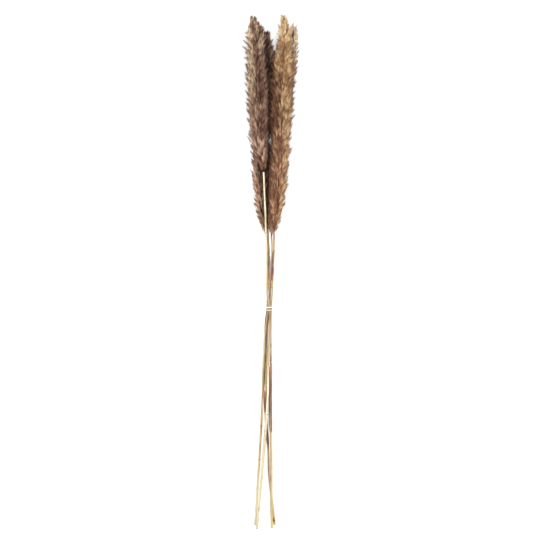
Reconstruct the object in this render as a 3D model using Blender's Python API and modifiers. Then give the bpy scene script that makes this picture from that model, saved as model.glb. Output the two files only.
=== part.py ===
"""A tied bundle of four dried pampas plumes, lying flat on a surface.

The frame is in metres: +X to the right, +Y from the cut ends towards the tips, and +Z up. The origin is on
the surface, under the middle of the bundle. Each plume is a route that runs the length of the bundle, given
as the centre of its cross-section at chosen places along +Y. The lower stretch of a route is a bare stem, and
the upper stretch is a dense head of pointed tufts.
"""

import math
import random

import bmesh
import bpy

MM = 0.001

# Stems
STEM_RADIUS = 2.3 * MM
STEM_STEP = 20.0 * MM
STEM_RADIUS_AT_HEAD = 2.0 * MM
JOINT_SWELLING = 1.2
JOINT_HALF_LENGTH = 3.0 * MM
UNDER_SHEATH = 0.8
SHEATH_STEP_LENGTH = 2.0 * MM

# Heads
TUFTS_AROUND = 12
ROW_SPACING = 9.2 * MM
TUFT_REACH = 21.0 * MM
TUFT_REACH_AT_ENDS = 8.0 * MM
FULLEST_RADIUS = 22.0 * MM
CORE_SHARE = 0.58
TUFT_SPREAD = (0.86, 1.1)
STRAY_SPREAD = (1.22, 1.45)
STRAY_SHARE = 0.1
TUFT_SWAY = 0.14
HEAD_GAP = 0.6 * MM
SEAT_GAP = 0.6 * MM
PRESSED_DEPTH = 2.4 * MM

# Leaf sheaths
SHEATH_GAP = 0.42 * MM
SHEATH_THICKNESS = 0.6 * MM
SHEATH_WRAP = math.radians(300.0)
SHEATH_SIDES = 8
SHEATH_RINGS = 8
SHEATH_SLANT = 9.0 * MM

# Tie
TIE_X = -4.0 * MM
TIE_Y = -79.6 * MM
TIE_HEIGHT = 17.0 * MM
TIE_GAP = 0.35 * MM
TIE_THICKNESS = 1.0 * MM
TIE_STEPS = 32
UPPER_WRAP_WIDTH = 2.8 * MM
LOWER_WRAP_WIDTH = 2.1 * MM
WRAP_SPACING = 5.2 * MM
KNOT_SIZE = (4.4 * MM, 8.4 * MM, 3.2 * MM)

# At the tie the four stems make a diamond, each just clear of the next.
PACKED_DISTANCE = 2 * STEM_RADIUS + 0.3 * MM
HALF_HEIGHT = PACKED_DISTANCE / 2
HALF_WIDTH = math.sqrt(PACKED_DISTANCE**2 - HALF_HEIGHT**2)
TIED = {
    "left": (TIE_X, TIE_HEIGHT + HALF_HEIGHT),
    "middle": (TIE_X - HALF_WIDTH, TIE_HEIGHT),
    "right": (TIE_X + HALF_WIDTH, TIE_HEIGHT),
    "back": (TIE_X, TIE_HEIGHT - HALF_HEIGHT),
}


def millimetres(points):
    return [tuple(value * MM for value in point) for point in points]


def tied(name):
    """Where a stem passes through the tie, as a point in millimetres."""
    x, z = TIED[name]
    return (x / MM, TIE_Y / MM, z / MM)


# Each route runs from the cut end to the tip, in millimetres: across, along and above the surface. A head's
# reach is how far its tufts stand out from the route at places along it.
PLUMES = {
    "left": {
        "route": millimetres(
            [
                (-30.5, -552.6, 6.6),
                (-25.5, -500.0, 8.0),
                (-20.6, -447.2, 9.4),
                (-17.2, -404.2, 10.8),
                (-13.3, -363.4, 12.2),
                (-9.2, -307.5, 14.2),
                (-6.7, -253.7, 15.6),
                (-5.6, -167.7, 17.4),
                (-4.5, -107.5, 18.7),
                tied("left"),
                (-4.5, -66.0, 20.9),
                (-7.4, -49.5, 23.2),
                (-9.3, -28.0, 25.2),
                (-9.0, -6.5, 26.2),
                (-9.2, 36.5, 28.0),
                (-10.3, 66.7, 29.4),
                (-11.5, 105.0, 31.8),
                (-11.9, 127.0, 33.3),
                (-12.8, 148.0, 34.8),
                (-14.0, 170.0, 36.3),
                (-15.9, 215.0, 39.5),
                (-19.4, 240.8, 41.5),
                (-24.1, 266.6, 43.5),
                (-26.4, 326.8, 46.0),
                (-28.2, 380.6, 47.0),
                (-33.0, 477.3, 46.5),
                (-34.0, 511.7, 45.5),
                (-36.1, 531.0, 44.5),
                (-39.6, 550.4, 43.5),
            ]
        ),
        "head_base": 215.0 * MM,
        "reach": millimetres(
            [
                (215.0, 2.4),
                (223.6, 5.0),
                (234.4, 9.0),
                (249.4, 14.0),
                (266.6, 18.0),
                (294.5, 19.5),
                (352.6, 22.0),
                (380.6, 23.3),
                (417.0, 22.3),
                (455.8, 20.5),
                (494.5, 20.0),
                (511.7, 18.0),
                (526.8, 14.5),
                (539.7, 9.0),
                (550.4, 3.0),
            ]
        ),
        "joints": (-306.0 * MM, 155.0 * MM),
        "seed": 11,
    },
    "middle": {
        "route": millimetres(
            [
                (-34.0, -545.2, 2.9),
                (-31.2, -500.0, 3.0),
                (-28.0, -447.2, 3.2),
                (-25.2, -404.2, 4.4),
                (-22.9, -361.0, 6.2),
                (-21.0, -331.1, 7.5),
                (-17.2, -253.7, 10.9),
                (-14.6, -167.7, 14.5),
                (-11.0, -107.5, 16.4),
                tied("middle"),
                (-7.4, -49.5, 16.8),
                (-6.5, -28.0, 16.5),
                (-5.6, -6.5, 16.2),
                (-5.2, 15.1, 15.9),
                (-4.6, 36.5, 15.6),
                (-5.2, 58.1, 15.4),
                (-10.8, 79.6, 15.2),
                (-14.6, 103.2, 15.0),
                (-17.6, 124.7, 15.0),
                (-20.9, 191.4, 15.0),
                (-21.5, 240.8, 15.0),
                (-19.4, 283.8, 15.0),
                (-14.4, 369.8, 15.0),
                (-10.8, 440.0, 14.8),
                (-9.7, 494.5, 14.4),
                (-7.5, 520.3, 14.0),
            ]
        ),
        "head_base": 79.6 * MM,
        "reach": millimetres(
            [
                (79.6, 2.4),
                (92.5, 4.6),
                (103.2, 7.0),
                (114.0, 9.5),
                (139.8, 13.6),
                (165.6, 16.5),
                (191.4, 17.6),
                (240.8, 18.8),
                (283.8, 16.6),
                (369.8, 16.8),
                (412.8, 17.2),
                (455.8, 16.4),
                (477.3, 14.5),
                (494.5, 11.5),
                (509.6, 7.8),
                (520.3, 3.0),
            ]
        ),
        "joints": (-331.0 * MM, -404.0 * MM),
        "seed": 23,
    },
    "right": {
        "route": millimetres(
            [
                (2.0, -550.4, 7.6),
                (0.9, -510.0, 8.2),
                (0.8, -468.7, 8.8),
                (0.8, -415.0, 9.6),
                (-0.2, -344.0, 10.7),
                (-0.4, -253.7, 13.1),
                (-0.2, -167.7, 15.4),
                (0.2, -107.5, 16.6),
                tied("right"),
                (1.5, -49.5, 18.7),
                (2.6, -28.0, 20.2),
                (3.4, -6.5, 21.7),
                (5.2, 36.5, 24.9),
                (6.5, 58.1, 26.5),
                (6.5, 81.7, 28.3),
                (7.7, 103.2, 30.2),
                (10.1, 129.0, 32.8),
                (12.9, 165.6, 36.5),
                (15.9, 197.8, 39.8),
                (17.8, 230.0, 42.8),
                (19.4, 262.3, 45.0),
                (22.1, 348.3, 47.5),
                (22.6, 391.3, 48.0),
                (24.2, 434.3, 48.0),
                (28.0, 477.3, 47.5),
                (30.0, 509.6, 46.5),
                (28.6, 537.5, 45.3),
                (25.8, 552.6, 44.5),
            ]
        ),
        "head_base": 81.7 * MM,
        "reach": millimetres(
            [
                (81.7, 2.4),
                (90.3, 3.6),
                (96.8, 6.2),
                (111.8, 11.4),
                (129.0, 13.4),
                (165.6, 17.6),
                (197.8, 19.6),
                (230.0, 19.2),
                (262.3, 20.3),
                (305.3, 20.8),
                (337.6, 22.8),
                (380.6, 23.3),
                (423.6, 22.5),
                (451.5, 20.8),
                (470.0, 17.5),
                (498.8, 13.8),
                (520.3, 12.0),
                (537.5, 9.0),
                (552.6, 2.6),
            ]
        ),
        "joints": (-344.0 * MM, -33.0 * MM),
        "seed": 37,
    },
    "back": {
        "route": millimetres(
            [
                (7.5, -544.0, 2.9),
                (4.6, -512.0, 2.9),
                (0.9, -483.8, 2.9),
                (-3.1, -447.2, 3.2),
                (-4.8, -415.0, 3.9),
                (-6.4, -372.0, 5.1),
                (-8.8, -333.3, 6.4),
                (-11.0, -296.7, 7.6),
                (-11.7, -253.7, 9.0),
                (-9.2, -167.7, 11.8),
                (-6.0, -107.5, 13.6),
                tied("back"),
                (-2.6, -49.5, 13.8),
                (-1.2, -28.0, 13.4),
                (0.0, -6.5, 13.2),
                (1.0, 15.1, 13.2),
                (2.0, 36.5, 13.4),
                (2.2, 58.1, 13.5),
                (0.8, 77.4, 13.5),
                (1.7, 111.8, 13.7),
                (3.4, 139.8, 14.0),
                (6.5, 165.6, 14.6),
                (9.2, 197.8, 15.0),
                (13.5, 240.8, 15.0),
                (21.5, 305.3, 15.0),
                (30.5, 391.3, 15.0),
                (36.5, 423.6, 15.0),
                (43.2, 477.3, 14.8),
                (47.3, 498.8, 14.6),
                (49.9, 520.3, 14.4),
                (51.2, 533.2, 14.2),
            ]
        ),
        "head_base": 77.4 * MM,
        "reach": millimetres(
            [
                (77.4, 2.4),
                (90.3, 4.0),
                (111.8, 8.0),
                (139.8, 10.5),
                (165.6, 12.8),
                (197.8, 15.0),
                (240.8, 17.0),
                (305.3, 18.0),
                (359.0, 18.6),
                (423.6, 17.4),
                (455.8, 15.4),
                (477.3, 13.2),
                (498.8, 9.6),
                (520.3, 7.2),
                (533.2, 2.6),
            ]
        ),
        "joints": (-372.0 * MM, -535.0 * MM),
        "seed": 53,
    },
}

# Dried leaf sheaths that still wrap a stem: plume, lower end, upper end, and the way the slit faces
SHEATHS = {
    "sheath_middle": ("middle", -38.0 * MM, 42.0 * MM, math.radians(250.0)),
    "sheath_right_upper": ("right", -32.0 * MM, 50.0 * MM, math.radians(200.0)),
    "sheath_right_lower": ("right", -343.0 * MM, -196.0 * MM, math.radians(300.0)),
    "sheath_back": ("back", -371.0 * MM, -246.0 * MM, math.radians(120.0)),
}

STRAW = (0.78, 0.66, 0.38)
TAN = (0.52, 0.36, 0.22)
BROWN = (0.36, 0.22, 0.15)
RUST = (0.36, 0.15, 0.09)
WHITE = (0.90, 0.89, 0.85)


def material(name, colour, roughness):
    made = bpy.data.materials.new(name)
    made.use_nodes = True
    shader = made.node_tree.nodes["Principled BSDF"]
    shader.inputs["Base Color"].default_value = (*colour, 1.0)
    shader.inputs["Roughness"].default_value = roughness
    shader.inputs["Metallic"].default_value = 0.0
    return made


def new_collection(name):
    made = bpy.data.collections.new(name)
    bpy.context.scene.collection.children.link(made)
    return made


def add_object(name, data, collection, finish=None):
    made = bpy.data.objects.new(name, data)
    collection.objects.link(made)
    if finish:
        data.materials.append(finish)
    return made


def move_to(thing, collection):
    for owner in list(thing.users_collection):
        owner.objects.unlink(thing)
    collection.objects.link(thing)


def blend_between(stops, where):
    """The value at a place on a list of (place, value) stops, straight between them."""
    for (start, low), (end, high) in zip(stops, stops[1:]):
        if where <= end:
            share = max(0.0, (where - start) / (end - start))
            return low + (high - low) * share
    return stops[-1][1]


def slope_at(route, index, axis):
    before = route[max(index - 1, 0)]
    after = route[min(index + 1, len(route) - 1)]
    return (after[axis] - before[axis]) / (after[1] - before[1])


def centre_at(route, y):
    """The route's centre at a place along the bundle, on a smooth curve through the route's points."""
    index = 0
    while index < len(route) - 2 and y > route[index + 1][1]:
        index += 1
    start, end = route[index], route[index + 1]
    span = end[1] - start[1]
    t = min(max((y - start[1]) / span, 0.0), 1.0)
    centre = []
    for axis in (0, 2):
        enter = slope_at(route, index, axis) * span
        leave = slope_at(route, index + 1, axis) * span
        centre.append(
            (2 * t**3 - 3 * t**2 + 1) * start[axis]
            + (t**3 - 2 * t**2 + t) * enter
            + (3 * t**2 - 2 * t**3) * end[axis]
            + (t**3 - t**2) * leave
        )
    return centre


def head_radius(plume, y):
    """The reach of the tufts from the head's middle line."""
    return blend_between(plume["reach"], y)


def core_radius(plume, y):
    return max(head_radius(plume, y) * CORE_SHARE, STEM_RADIUS_AT_HEAD * 0.8)


def is_head(plume, y):
    return plume["head_base"] - TUFT_REACH < y


def pushed_clear(name, point):
    """The point, moved towards its own head's middle where another plume lies in its way."""
    x, y, z = point
    own = PLUMES[name]
    own_x, own_z = centre_at(own["route"], y)
    for other_name, other in PLUMES.items():
        if other_name == name or y > other["route"][-1][1] + TUFT_REACH:
            continue
        other_x, other_z = centre_at(other["route"], y)
        across, up = other_x - own_x, other_z - own_z
        distance = math.hypot(across, up)
        across, up = across / distance, up / distance
        if is_head(other, y):
            own_reach = head_radius(own, y)
            limit = distance * own_reach / (own_reach + head_radius(other, y))
        else:
            limit = distance - STEM_RADIUS * JOINT_SWELLING - SHEATH_THICKNESS
        limit -= HEAD_GAP
        reach = (x - own_x) * across + (z - own_z) * up
        if reach > limit:
            x -= across * (reach - limit)
            z -= up * (reach - limit)
    return x, y, max(z, -PRESSED_DEPTH)


def raise_tuft(name, vertex, dice):
    """Draws the middle of one cell of the core out and up into the tip of a tuft."""
    plume = PLUMES[name]
    route_end = plume["route"][-1][1]
    x, y, z = vertex.co
    middle_x, middle_z = centre_at(plume["route"], y)
    angle = math.atan2(z - middle_z, x - middle_x) + dice.uniform(-TUFT_SWAY, TUFT_SWAY)
    fullness = min(1.0, head_radius(plume, y) / FULLEST_RADIUS)
    reach = TUFT_REACH_AT_ENDS + (TUFT_REACH - TUFT_REACH_AT_ENDS) * fullness
    tip_y = min(y + reach * dice.uniform(0.85, 1.15), route_end)
    tip_x, tip_z = centre_at(plume["route"], tip_y)
    spread = STRAY_SPREAD if dice.random() < STRAY_SHARE else TUFT_SPREAD
    least = core_radius(plume, y) * 1.15
    radius = max(head_radius(plume, tip_y) * dice.uniform(*spread), least)
    tip = (tip_x + radius * math.cos(angle), tip_y, tip_z + radius * math.sin(angle))
    vertex.co = pushed_clear(name, tip)


def make_head(name, finish, collection):
    """A closed core along the route, each of whose cells is drawn out into one pointed tuft."""
    plume = PLUMES[name]
    base, end = plume["head_base"], plume["route"][-1][1]
    core_end = end - ROW_SPACING
    rows = round((core_end - base) / ROW_SPACING)
    shape = bmesh.new()
    bmesh.ops.create_grid(shape, x_segments=TUFTS_AROUND, y_segments=rows, size=0.5)
    for vertex in shape.verts:
        around, along = vertex.co.x + 0.5, vertex.co.y + 0.5
        y = base + along * (core_end - base)
        angle = 2 * math.pi * (around + 0.5 * along * rows / TUFTS_AROUND)
        radius = core_radius(plume, y)
        x, z = centre_at(plume["route"], y)
        vertex.co = (x + radius * math.cos(angle), y, z + radius * math.sin(angle))
    bmesh.ops.remove_doubles(shape, verts=shape.verts, dist=1e-6)
    cells = list(shape.faces)
    rims = [edge for edge in shape.edges if edge.is_boundary]
    caps = bmesh.ops.holes_fill(shape, edges=rims, sides=TUFTS_AROUND)["faces"]
    bmesh.ops.recalc_face_normals(shape, faces=shape.faces)
    dice = random.Random(plume["seed"])
    for vertex in bmesh.ops.poke(shape, faces=cells)["verts"]:
        raise_tuft(name, vertex, dice)
    top = max(caps, key=lambda face: face.calc_center_median().y)
    end_x, end_z = centre_at(plume["route"], end)
    for vertex in bmesh.ops.poke(shape, faces=[top])["verts"]:
        vertex.co = (end_x, end, end_z)
    bmesh.ops.triangulate(shape, faces=shape.faces)
    mesh = bpy.data.meshes.new("head_" + name)
    shape.to_mesh(mesh)
    shape.free()
    return add_object("head_" + name, mesh, collection, finish)


def flatten_underneath(head, surface):
    """Cuts the head off level with the surface it lies on, where its weight presses the tufts flat."""
    cut = head.modifiers.new("Flattened underneath", "BOOLEAN")
    cut.operation = "DIFFERENCE"
    cut.solver = "EXACT"
    cut.object = surface


def make_surface_cutter(collection):
    """A slab whose top is the surface. It only cuts, and isn't part of the bundle."""
    depth, width, length = 20.0 * MM, 240.0 * MM, 1200.0 * MM
    bpy.ops.mesh.primitive_cube_add(size=1.0, location=(0.0, 0.0, -depth / 2))
    slab = bpy.context.object
    slab.name = "surface_cutter"
    slab.scale = (width, length, depth)
    bpy.ops.object.transform_apply(location=False, rotation=False, scale=True)
    move_to(slab, collection)
    slab.hide_render = True
    slab.display_type = "WIRE"
    return slab


def sheaths_of(name):
    return [(low, high) for plume, low, high, _ in SHEATHS.values() if plume == name]


def stem_radius(name, y):
    """A stem narrows a little towards its head and where a sheath wraps it, and swells at its joints."""
    plume = PLUMES[name]
    foot = plume["route"][0][1]
    share = (y - foot) / (plume["head_base"] - foot)
    radius = STEM_RADIUS + (STEM_RADIUS_AT_HEAD - STEM_RADIUS) * share**2
    step = SHEATH_STEP_LENGTH * 1.5
    if any(low - step < y < high + step for low, high in sheaths_of(name)):
        return radius * UNDER_SHEATH
    if any(abs(y - joint) < JOINT_HALF_LENGTH / 2 for joint in plume["joints"]):
        return radius * JOINT_SWELLING
    return radius


def stem_stations(name):
    """Places along a stem: even steps, with more at each joint and at both ends of each sheath."""
    plume = PLUMES[name]
    foot, head = plume["route"][0][1], plume["head_base"] - SEAT_GAP
    steps = round((head - foot) / STEM_STEP)
    marks = [joint + side * JOINT_HALF_LENGTH for joint in plume["joints"] for side in (-1, 0, 1)]
    for low, high in sheaths_of(name):
        marks += [low - 2 * SHEATH_STEP_LENGTH, low - SHEATH_STEP_LENGTH]
        marks += [high + SHEATH_STEP_LENGTH, high + 2 * SHEATH_STEP_LENGTH]
    even = [foot + (head - foot) * step / steps for step in range(1, steps)]
    near = JOINT_HALF_LENGTH * 2
    kept = [y for y in even if all(abs(y - mark) > near for mark in marks)]
    inside = [mark for mark in marks if foot < mark < head]
    return sorted([foot, head] + kept + inside)


def make_stem(name, finish, collection):
    plume = PLUMES[name]
    stations = stem_stations(name)
    curve = bpy.data.curves.new("stem_" + name, "CURVE")
    curve.dimensions = "3D"
    curve.bevel_depth = 1.0
    curve.bevel_resolution = 2
    curve.use_fill_caps = True
    spline = curve.splines.new("POLY")
    spline.points.add(len(stations) - 1)
    for point, y in zip(spline.points, stations):
        x, z = centre_at(plume["route"], y)
        point.co = (x, y, z, 1.0)
        point.radius = stem_radius(name, y)
    return add_object("stem_" + name, curve, collection, finish)


def make_sheath(name, finish, collection):
    """A thin leaf base wrapped round a stem, slit along one side, with a slanted upper end."""
    plume_name, low, high, slit = SHEATHS[name]
    plume = PLUMES[plume_name]
    shape = bmesh.new()
    bmesh.ops.create_grid(shape, x_segments=SHEATH_SIDES, y_segments=SHEATH_RINGS, size=0.5)
    for vertex in shape.verts:
        around, along = vertex.co.x, vertex.co.y + 0.5
        angle = slit + math.pi + around * SHEATH_WRAP
        point_share = 1.0 - abs(around) * 2
        y = low + along * (high - low - SHEATH_SLANT * (1.0 - point_share))
        x, z = centre_at(plume["route"], y)
        stem_here = stem_radius(plume_name, (low + high) / 2)
        radius = stem_here + SHEATH_GAP + SHEATH_THICKNESS
        vertex.co = (x + radius * math.cos(angle), y, z + radius * math.sin(angle))
    bmesh.ops.recalc_face_normals(shape, faces=shape.faces)
    middle = min(shape.faces, key=lambda face: abs(face.calc_center_median().y - (low + high) / 2))
    spot = middle.calc_center_median()
    x, z = centre_at(plume["route"], spot.y)
    if middle.normal.x * (spot.x - x) + middle.normal.z * (spot.z - z) < 0:
        bmesh.ops.reverse_faces(shape, faces=shape.faces)
    mesh = bpy.data.meshes.new(name)
    shape.to_mesh(mesh)
    shape.free()
    sheath = add_object(name, mesh, collection, finish)
    wall = sheath.modifiers.new("Wall", "SOLIDIFY")
    wall.thickness = SHEATH_THICKNESS
    wall.offset = -1.0
    return sheath


def wrap_point(y, angle):
    """Where a line that hugs the four stems at a place along them stands, at this angle round them."""
    out = (math.cos(angle), math.sin(angle))
    centres = [centre_at(plume["route"], y) for plume in PLUMES.values()]
    x, z = max(centres, key=lambda centre: centre[0] * out[0] + centre[1] * out[1])
    clearance = STEM_RADIUS + TIE_GAP + TIE_THICKNESS / 2
    return (x + clearance * out[0], z + clearance * out[1])


def make_wrap(name, y, width, collection):
    """One turn of the flat tie as a closed ring round the stems."""
    curve = bpy.data.curves.new(name + "_line", "CURVE")
    curve.dimensions = "3D"
    curve.bevel_depth = TIE_THICKNESS / 2
    curve.bevel_resolution = 1
    spline = curve.splines.new("POLY")
    spline.points.add(TIE_STEPS - 1)
    for step, point in enumerate(spline.points):
        x, z = wrap_point(y, 2 * math.pi * step / TIE_STEPS)
        point.co = (x, 0.0, z, 1.0)
    spline.use_cyclic_u = True
    line = add_object(name + "_line", curve, collection)
    mesh = bpy.data.meshes.new_from_object(line.evaluated_get(bpy.context.evaluated_depsgraph_get()))
    bpy.data.objects.remove(line)
    for vertex in mesh.vertices:
        vertex.co.y = y + vertex.co.y * width / TIE_THICKNESS
    shape = bmesh.new()
    shape.from_mesh(mesh)
    bmesh.ops.recalc_face_normals(shape, faces=shape.faces)
    shape.to_mesh(mesh)
    shape.free()
    return add_object(name, mesh, collection)


def make_tie(finish, bundle, cutters):
    """A flat white tie wound twice round the stems, its two turns joined by a knot on the underside."""
    tie = make_wrap("tie", TIE_Y + WRAP_SPACING / 2, UPPER_WRAP_WIDTH, bundle)
    tie.data.materials.append(finish)
    lower = make_wrap("lower_wrap", TIE_Y - WRAP_SPACING / 2, LOWER_WRAP_WIDTH, cutters)
    x, z = wrap_point(TIE_Y, math.pi * 1.5)
    bpy.ops.mesh.primitive_uv_sphere_add(segments=12, ring_count=8, location=(x, TIE_Y, z - TIE_THICKNESS))
    knot = bpy.context.object
    knot.name = "knot"
    knot.dimensions = KNOT_SIZE
    bpy.ops.object.transform_apply(location=False, rotation=False, scale=True)
    move_to(knot, cutters)
    for helper in (lower, knot):
        helper.hide_render = True
        helper.display_type = "WIRE"
        join = tie.modifiers.new("Joined to " + helper.name, "BOOLEAN")
        join.operation = "UNION"
        join.solver = "EXACT"
        join.object = helper


def main():
    for old in list(bpy.data.objects):
        bpy.data.objects.remove(old)
    bundle = new_collection("pampas_bundle")
    cutters = new_collection("cutters")
    straw = material("straw", STRAW, 0.55)
    tan_plume = material("tan_plume", TAN, 0.9)
    brown_plume = material("brown_plume", BROWN, 0.9)
    rust = material("dry_sheath", RUST, 0.7)
    white = material("white_cord", WHITE, 0.6)
    surface = make_surface_cutter(cutters)
    for name in PLUMES:
        finish = brown_plume if name == "middle" else tan_plume
        head = make_head(name, finish, bundle)
        if name in ("middle", "back"):
            flatten_underneath(head, surface)
        make_stem(name, straw, bundle)
    for name in SHEATHS:
        make_sheath(name, rust, bundle)
    make_tie(white, bundle, cutters)


main()
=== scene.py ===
"""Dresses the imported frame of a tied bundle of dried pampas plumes, which lies flat on a pale surface.

Everything is in the frame's metres: +Y runs from the cut ends to the tips, +X to the right and +Z up. Each
plume follows the same route as its solid: a bare stem, then a head of hairy sprigs gathered into locks.
"""

import math

import bmesh
import bpy
import numpy as np
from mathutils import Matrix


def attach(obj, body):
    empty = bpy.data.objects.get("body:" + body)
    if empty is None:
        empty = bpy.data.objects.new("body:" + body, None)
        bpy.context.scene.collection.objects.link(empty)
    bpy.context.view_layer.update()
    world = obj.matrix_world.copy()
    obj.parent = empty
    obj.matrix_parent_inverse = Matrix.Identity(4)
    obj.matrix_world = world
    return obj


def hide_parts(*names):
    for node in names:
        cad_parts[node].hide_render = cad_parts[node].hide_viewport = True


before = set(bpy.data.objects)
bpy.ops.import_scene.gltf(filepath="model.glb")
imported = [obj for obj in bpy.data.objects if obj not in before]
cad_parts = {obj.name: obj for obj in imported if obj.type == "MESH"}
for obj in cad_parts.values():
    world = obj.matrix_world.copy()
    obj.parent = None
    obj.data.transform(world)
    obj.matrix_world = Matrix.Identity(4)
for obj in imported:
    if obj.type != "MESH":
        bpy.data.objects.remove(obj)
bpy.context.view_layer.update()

MM = 0.001

# Stems: their radii, what a joint and a sheath multiply them by, the steps of their mesh, and their cut ends
STEM_RADIUS = 2.3 * MM
STEM_RADIUS_AT_HEAD = 1.8 * MM
JOINT_SWELLING = 1.17
UNDER_SHEATH = 0.8
STEM_STEP = 4.0 * MM
JOINT_STEP = 0.6 * MM
RIM_WIDTH = 0.7 * MM
PITH_DEPTH = 0.5 * MM
JOINTS = {
    "left": (-306.0 * MM, 155.0 * MM),
    "middle": (-63.0 * MM, -331.0 * MM, -404.0 * MM),
    "right": (-344.0 * MM, -33.0 * MM),
    "back": (-372.0 * MM, -535.0 * MM),
}

# Leaf sheaths: plume, lower end, upper end, the way the slit faces, and how far its loose side stands out
SHEATHS = {
    "sheath_middle": ("middle", -38.0 * MM, 42.0 * MM, math.radians(335.0), 1.4 * MM),
    "sheath_right_upper": ("right", -32.0 * MM, 50.0 * MM, math.radians(200.0), 0.3 * MM),
    "sheath_right_lower": ("right", -343.0 * MM, -196.0 * MM, math.radians(205.0), 2.0 * MM),
    "sheath_back": ("back", -371.0 * MM, -246.0 * MM, math.radians(205.0), 1.0 * MM),
}
# The sheaths' gap to the stem, thickness, wrap and drop from point to slit, and the steps of their mesh
SHEATH_GAP = 0.45 * MM
SHEATH_THICKNESS = 0.35 * MM
SHEATH_WRAP = math.radians(310.0)
SHEATH_SLANT = 10.0 * MM
SHEATH_COLUMNS = 30
SHEATH_STEP = 2.5 * MM

# The loose leaf tip above the middle stem's sheath: points along it in millimetres, and its width at its foot
LEAF_TIP = ((-4.4, 39.0, 17.6), (-5.2, 54.0, 17.8), (-6.2, 70.0, 18.0), (-6.7, 98.0, 19.0))
LEAF_TIP_WIDTH = 5.0 * MM

# Heads
# What one unit across a sprig's shape measures, and where along its length a grain is widest
SPRIG_WIDTH = 20.0 * MM
WIDEST = 0.52
# Locks: their spacing, how far they rise in a thin and in a full head, the reach at which a head is full, and
# the core's share of the reach
LOCK_SPACING = 6.3 * MM
LOCK_RISE = (13.0 * MM, 29.0 * MM)
FULLEST_RADIUS = 22.0 * MM
CORE_SHARE = 0.4
# How unevenly locks stand: along the head, and in radians round it at their start and their end
PLACE_JITTER = 1.8 * MM
TURN_JITTER = (0.24, 0.26)
# How many millimetres past the reach the bold locks end, what share of them strays, and how much further
BOLD_REACH = (0.8, 3.2)
STRAY_SHARE = 0.4
STRAY_REACH = (2.0, 5.0)
# The length at the tip where no lock starts, and how far neighbouring heads reach into each other
CREST = 20.0 * MM
INTERLOCK = 1.5 * MM
# The small gap that shows the surface between the middle and right heads: its middle (x, y) and half sizes
OPENING = (-1.6 * MM, 287.0 * MM, 2.0 * MM, 16.0 * MM)
# How many of the sprigs are leafy, loose and silky
SPRIG_MIX = (0.5, 0.32, 0.18)
# Where the six sprigs of a lock start and end along it
FIRSTS = (0.0, 0.06, 0.16, 0.26, 0.36, 0.44)
LASTS = (1.0, 0.94, 0.85, 0.9, 1.0, 1.04)
# The height below which every lock ends
HIGHEST = 77.0 * MM
# How much of each route stays bare past the last of its locks
BARE_TIPS = {"left": 0.0, "middle": 0.0, "right": 9.0 * MM, "back": 2.0 * MM}
# How much less the sprigs' ends darken near each head's tip
PALE_TIPS = {"left": 0.1, "middle": 0.1, "right": 0.24, "back": 0.2}
# Where the longest thin wisps at each head's sides end: across and along, in millimetres
WISP_ENDS = {
    "left": (
        (-58.3, 507.8), (-61.4, 498.4), (-62.2, 485.7), (-57.2, 481.0), (-49.9, 521.6), (-57.2, 430.2),
        (-54.6, 415.2), (-57.2, 390.9), (-55.9, 366.1), (-49.9, 346.2), (-47.5, 317.3), (-45.2, 269.4),
        (-42.8, 249.4),
    ),
    "middle": ((4.4, 501.2), (6.4, 486.0), (-38.6, 195.7), (-35.8, 168.0), (-32.0, 134.0)),
    "right": (
        (13.3, 532.8), (16.6, 507.8), (11.0, 486.8), (36.6, 541.0), (51.0, 374.5), (53.4, 338.8),
        (43.4, 317.3), (41.6, 298.0), (40.4, 254.0), (37.0, 200.0), (31.0, 152.7), (22.2, 113.0),
    ),
    "back": (
        (44.5, 540.0), (54.6, 532.0), (58.0, 521.0), (57.8, 512.0), (60.6, 494.5), (61.8, 477.9),
        (58.6, 453.0), (56.2, 429.6), (57.4, 412.4), (54.2, 390.9),
    ),
}
GOLDEN_TURN = math.pi * (3.0 - math.sqrt(5.0))

# Tie
TIE_Y = -79.2 * MM
TIE_GAP = 0.12 * MM
TIE_CORDS = 3
TIE_PROFILE_STEPS = 48
TIE_THICKNESS = 0.9 * MM
UPPER_WRAP_WIDTH = 2.8 * MM
LOWER_WRAP_WIDTH = 2.5 * MM
WRAP_SPACING = 5.8 * MM
KNOT_CORD_RADIUS = 0.62 * MM
# The knot's cords, as points in millimetres from its middle
KNOT = {
    "turn": ((-1.5, 3.4, 0.9), (-1.2, 1.6, -0.5), (0.4, 0.0, -1.2), (1.3, -1.7, -0.5), (1.4, -3.3, 0.9)),
    "cross": ((1.5, 3.4, 0.9), (1.1, 1.6, -0.3), (-0.2, 0.0, -0.7), (-1.2, -1.6, -0.4), (-1.5, -3.3, 0.9)),
    "end": ((0.3, 0.2, -0.9), (1.2, 1.2, -0.9), (1.6, 2.6, -0.5), (1.7, 3.6, 0.0)),
    "tail": ((-0.3, -0.2, -0.9), (-1.0, -1.2, -0.9), (-1.7, -2.4, -0.5), (-1.8, -3.5, 0.0)),
}

# Camera: the width of the view at a height just above the surface, and where the camera stands
FRAME_SIZE = 1161.0 * MM
FRAME_HEIGHT = 20.0 * MM
CAMERA_PLACE = (-2.15 * MM, 4.3 * MM)
CAMERA_HEIGHT = 10.0
SENSOR_MM = 36.0

# Light: how strong the white sky is, how much brighter all the light makes a surface than its own colour, and
# each lamp's place, turn in degrees, size and power
SKY_STRENGTH = 0.5
BRIGHTNESS = 1.18
LAMPS = {
    "overhead_soft_box": ((0.0, 0.2, 3.0), 0.0, 0.6, 56.0),
    "left_soft_box": ((-2.2, 0.3, 1.3), -60.0, 1.2, 26.0),
    "right_soft_box": ((2.2, 0.3, 1.3), 60.0, 1.2, 24.0),
}


def millimetres(points):
    """Points given in millimetres, as an array in metres."""
    return np.array(points, float) * MM


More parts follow.
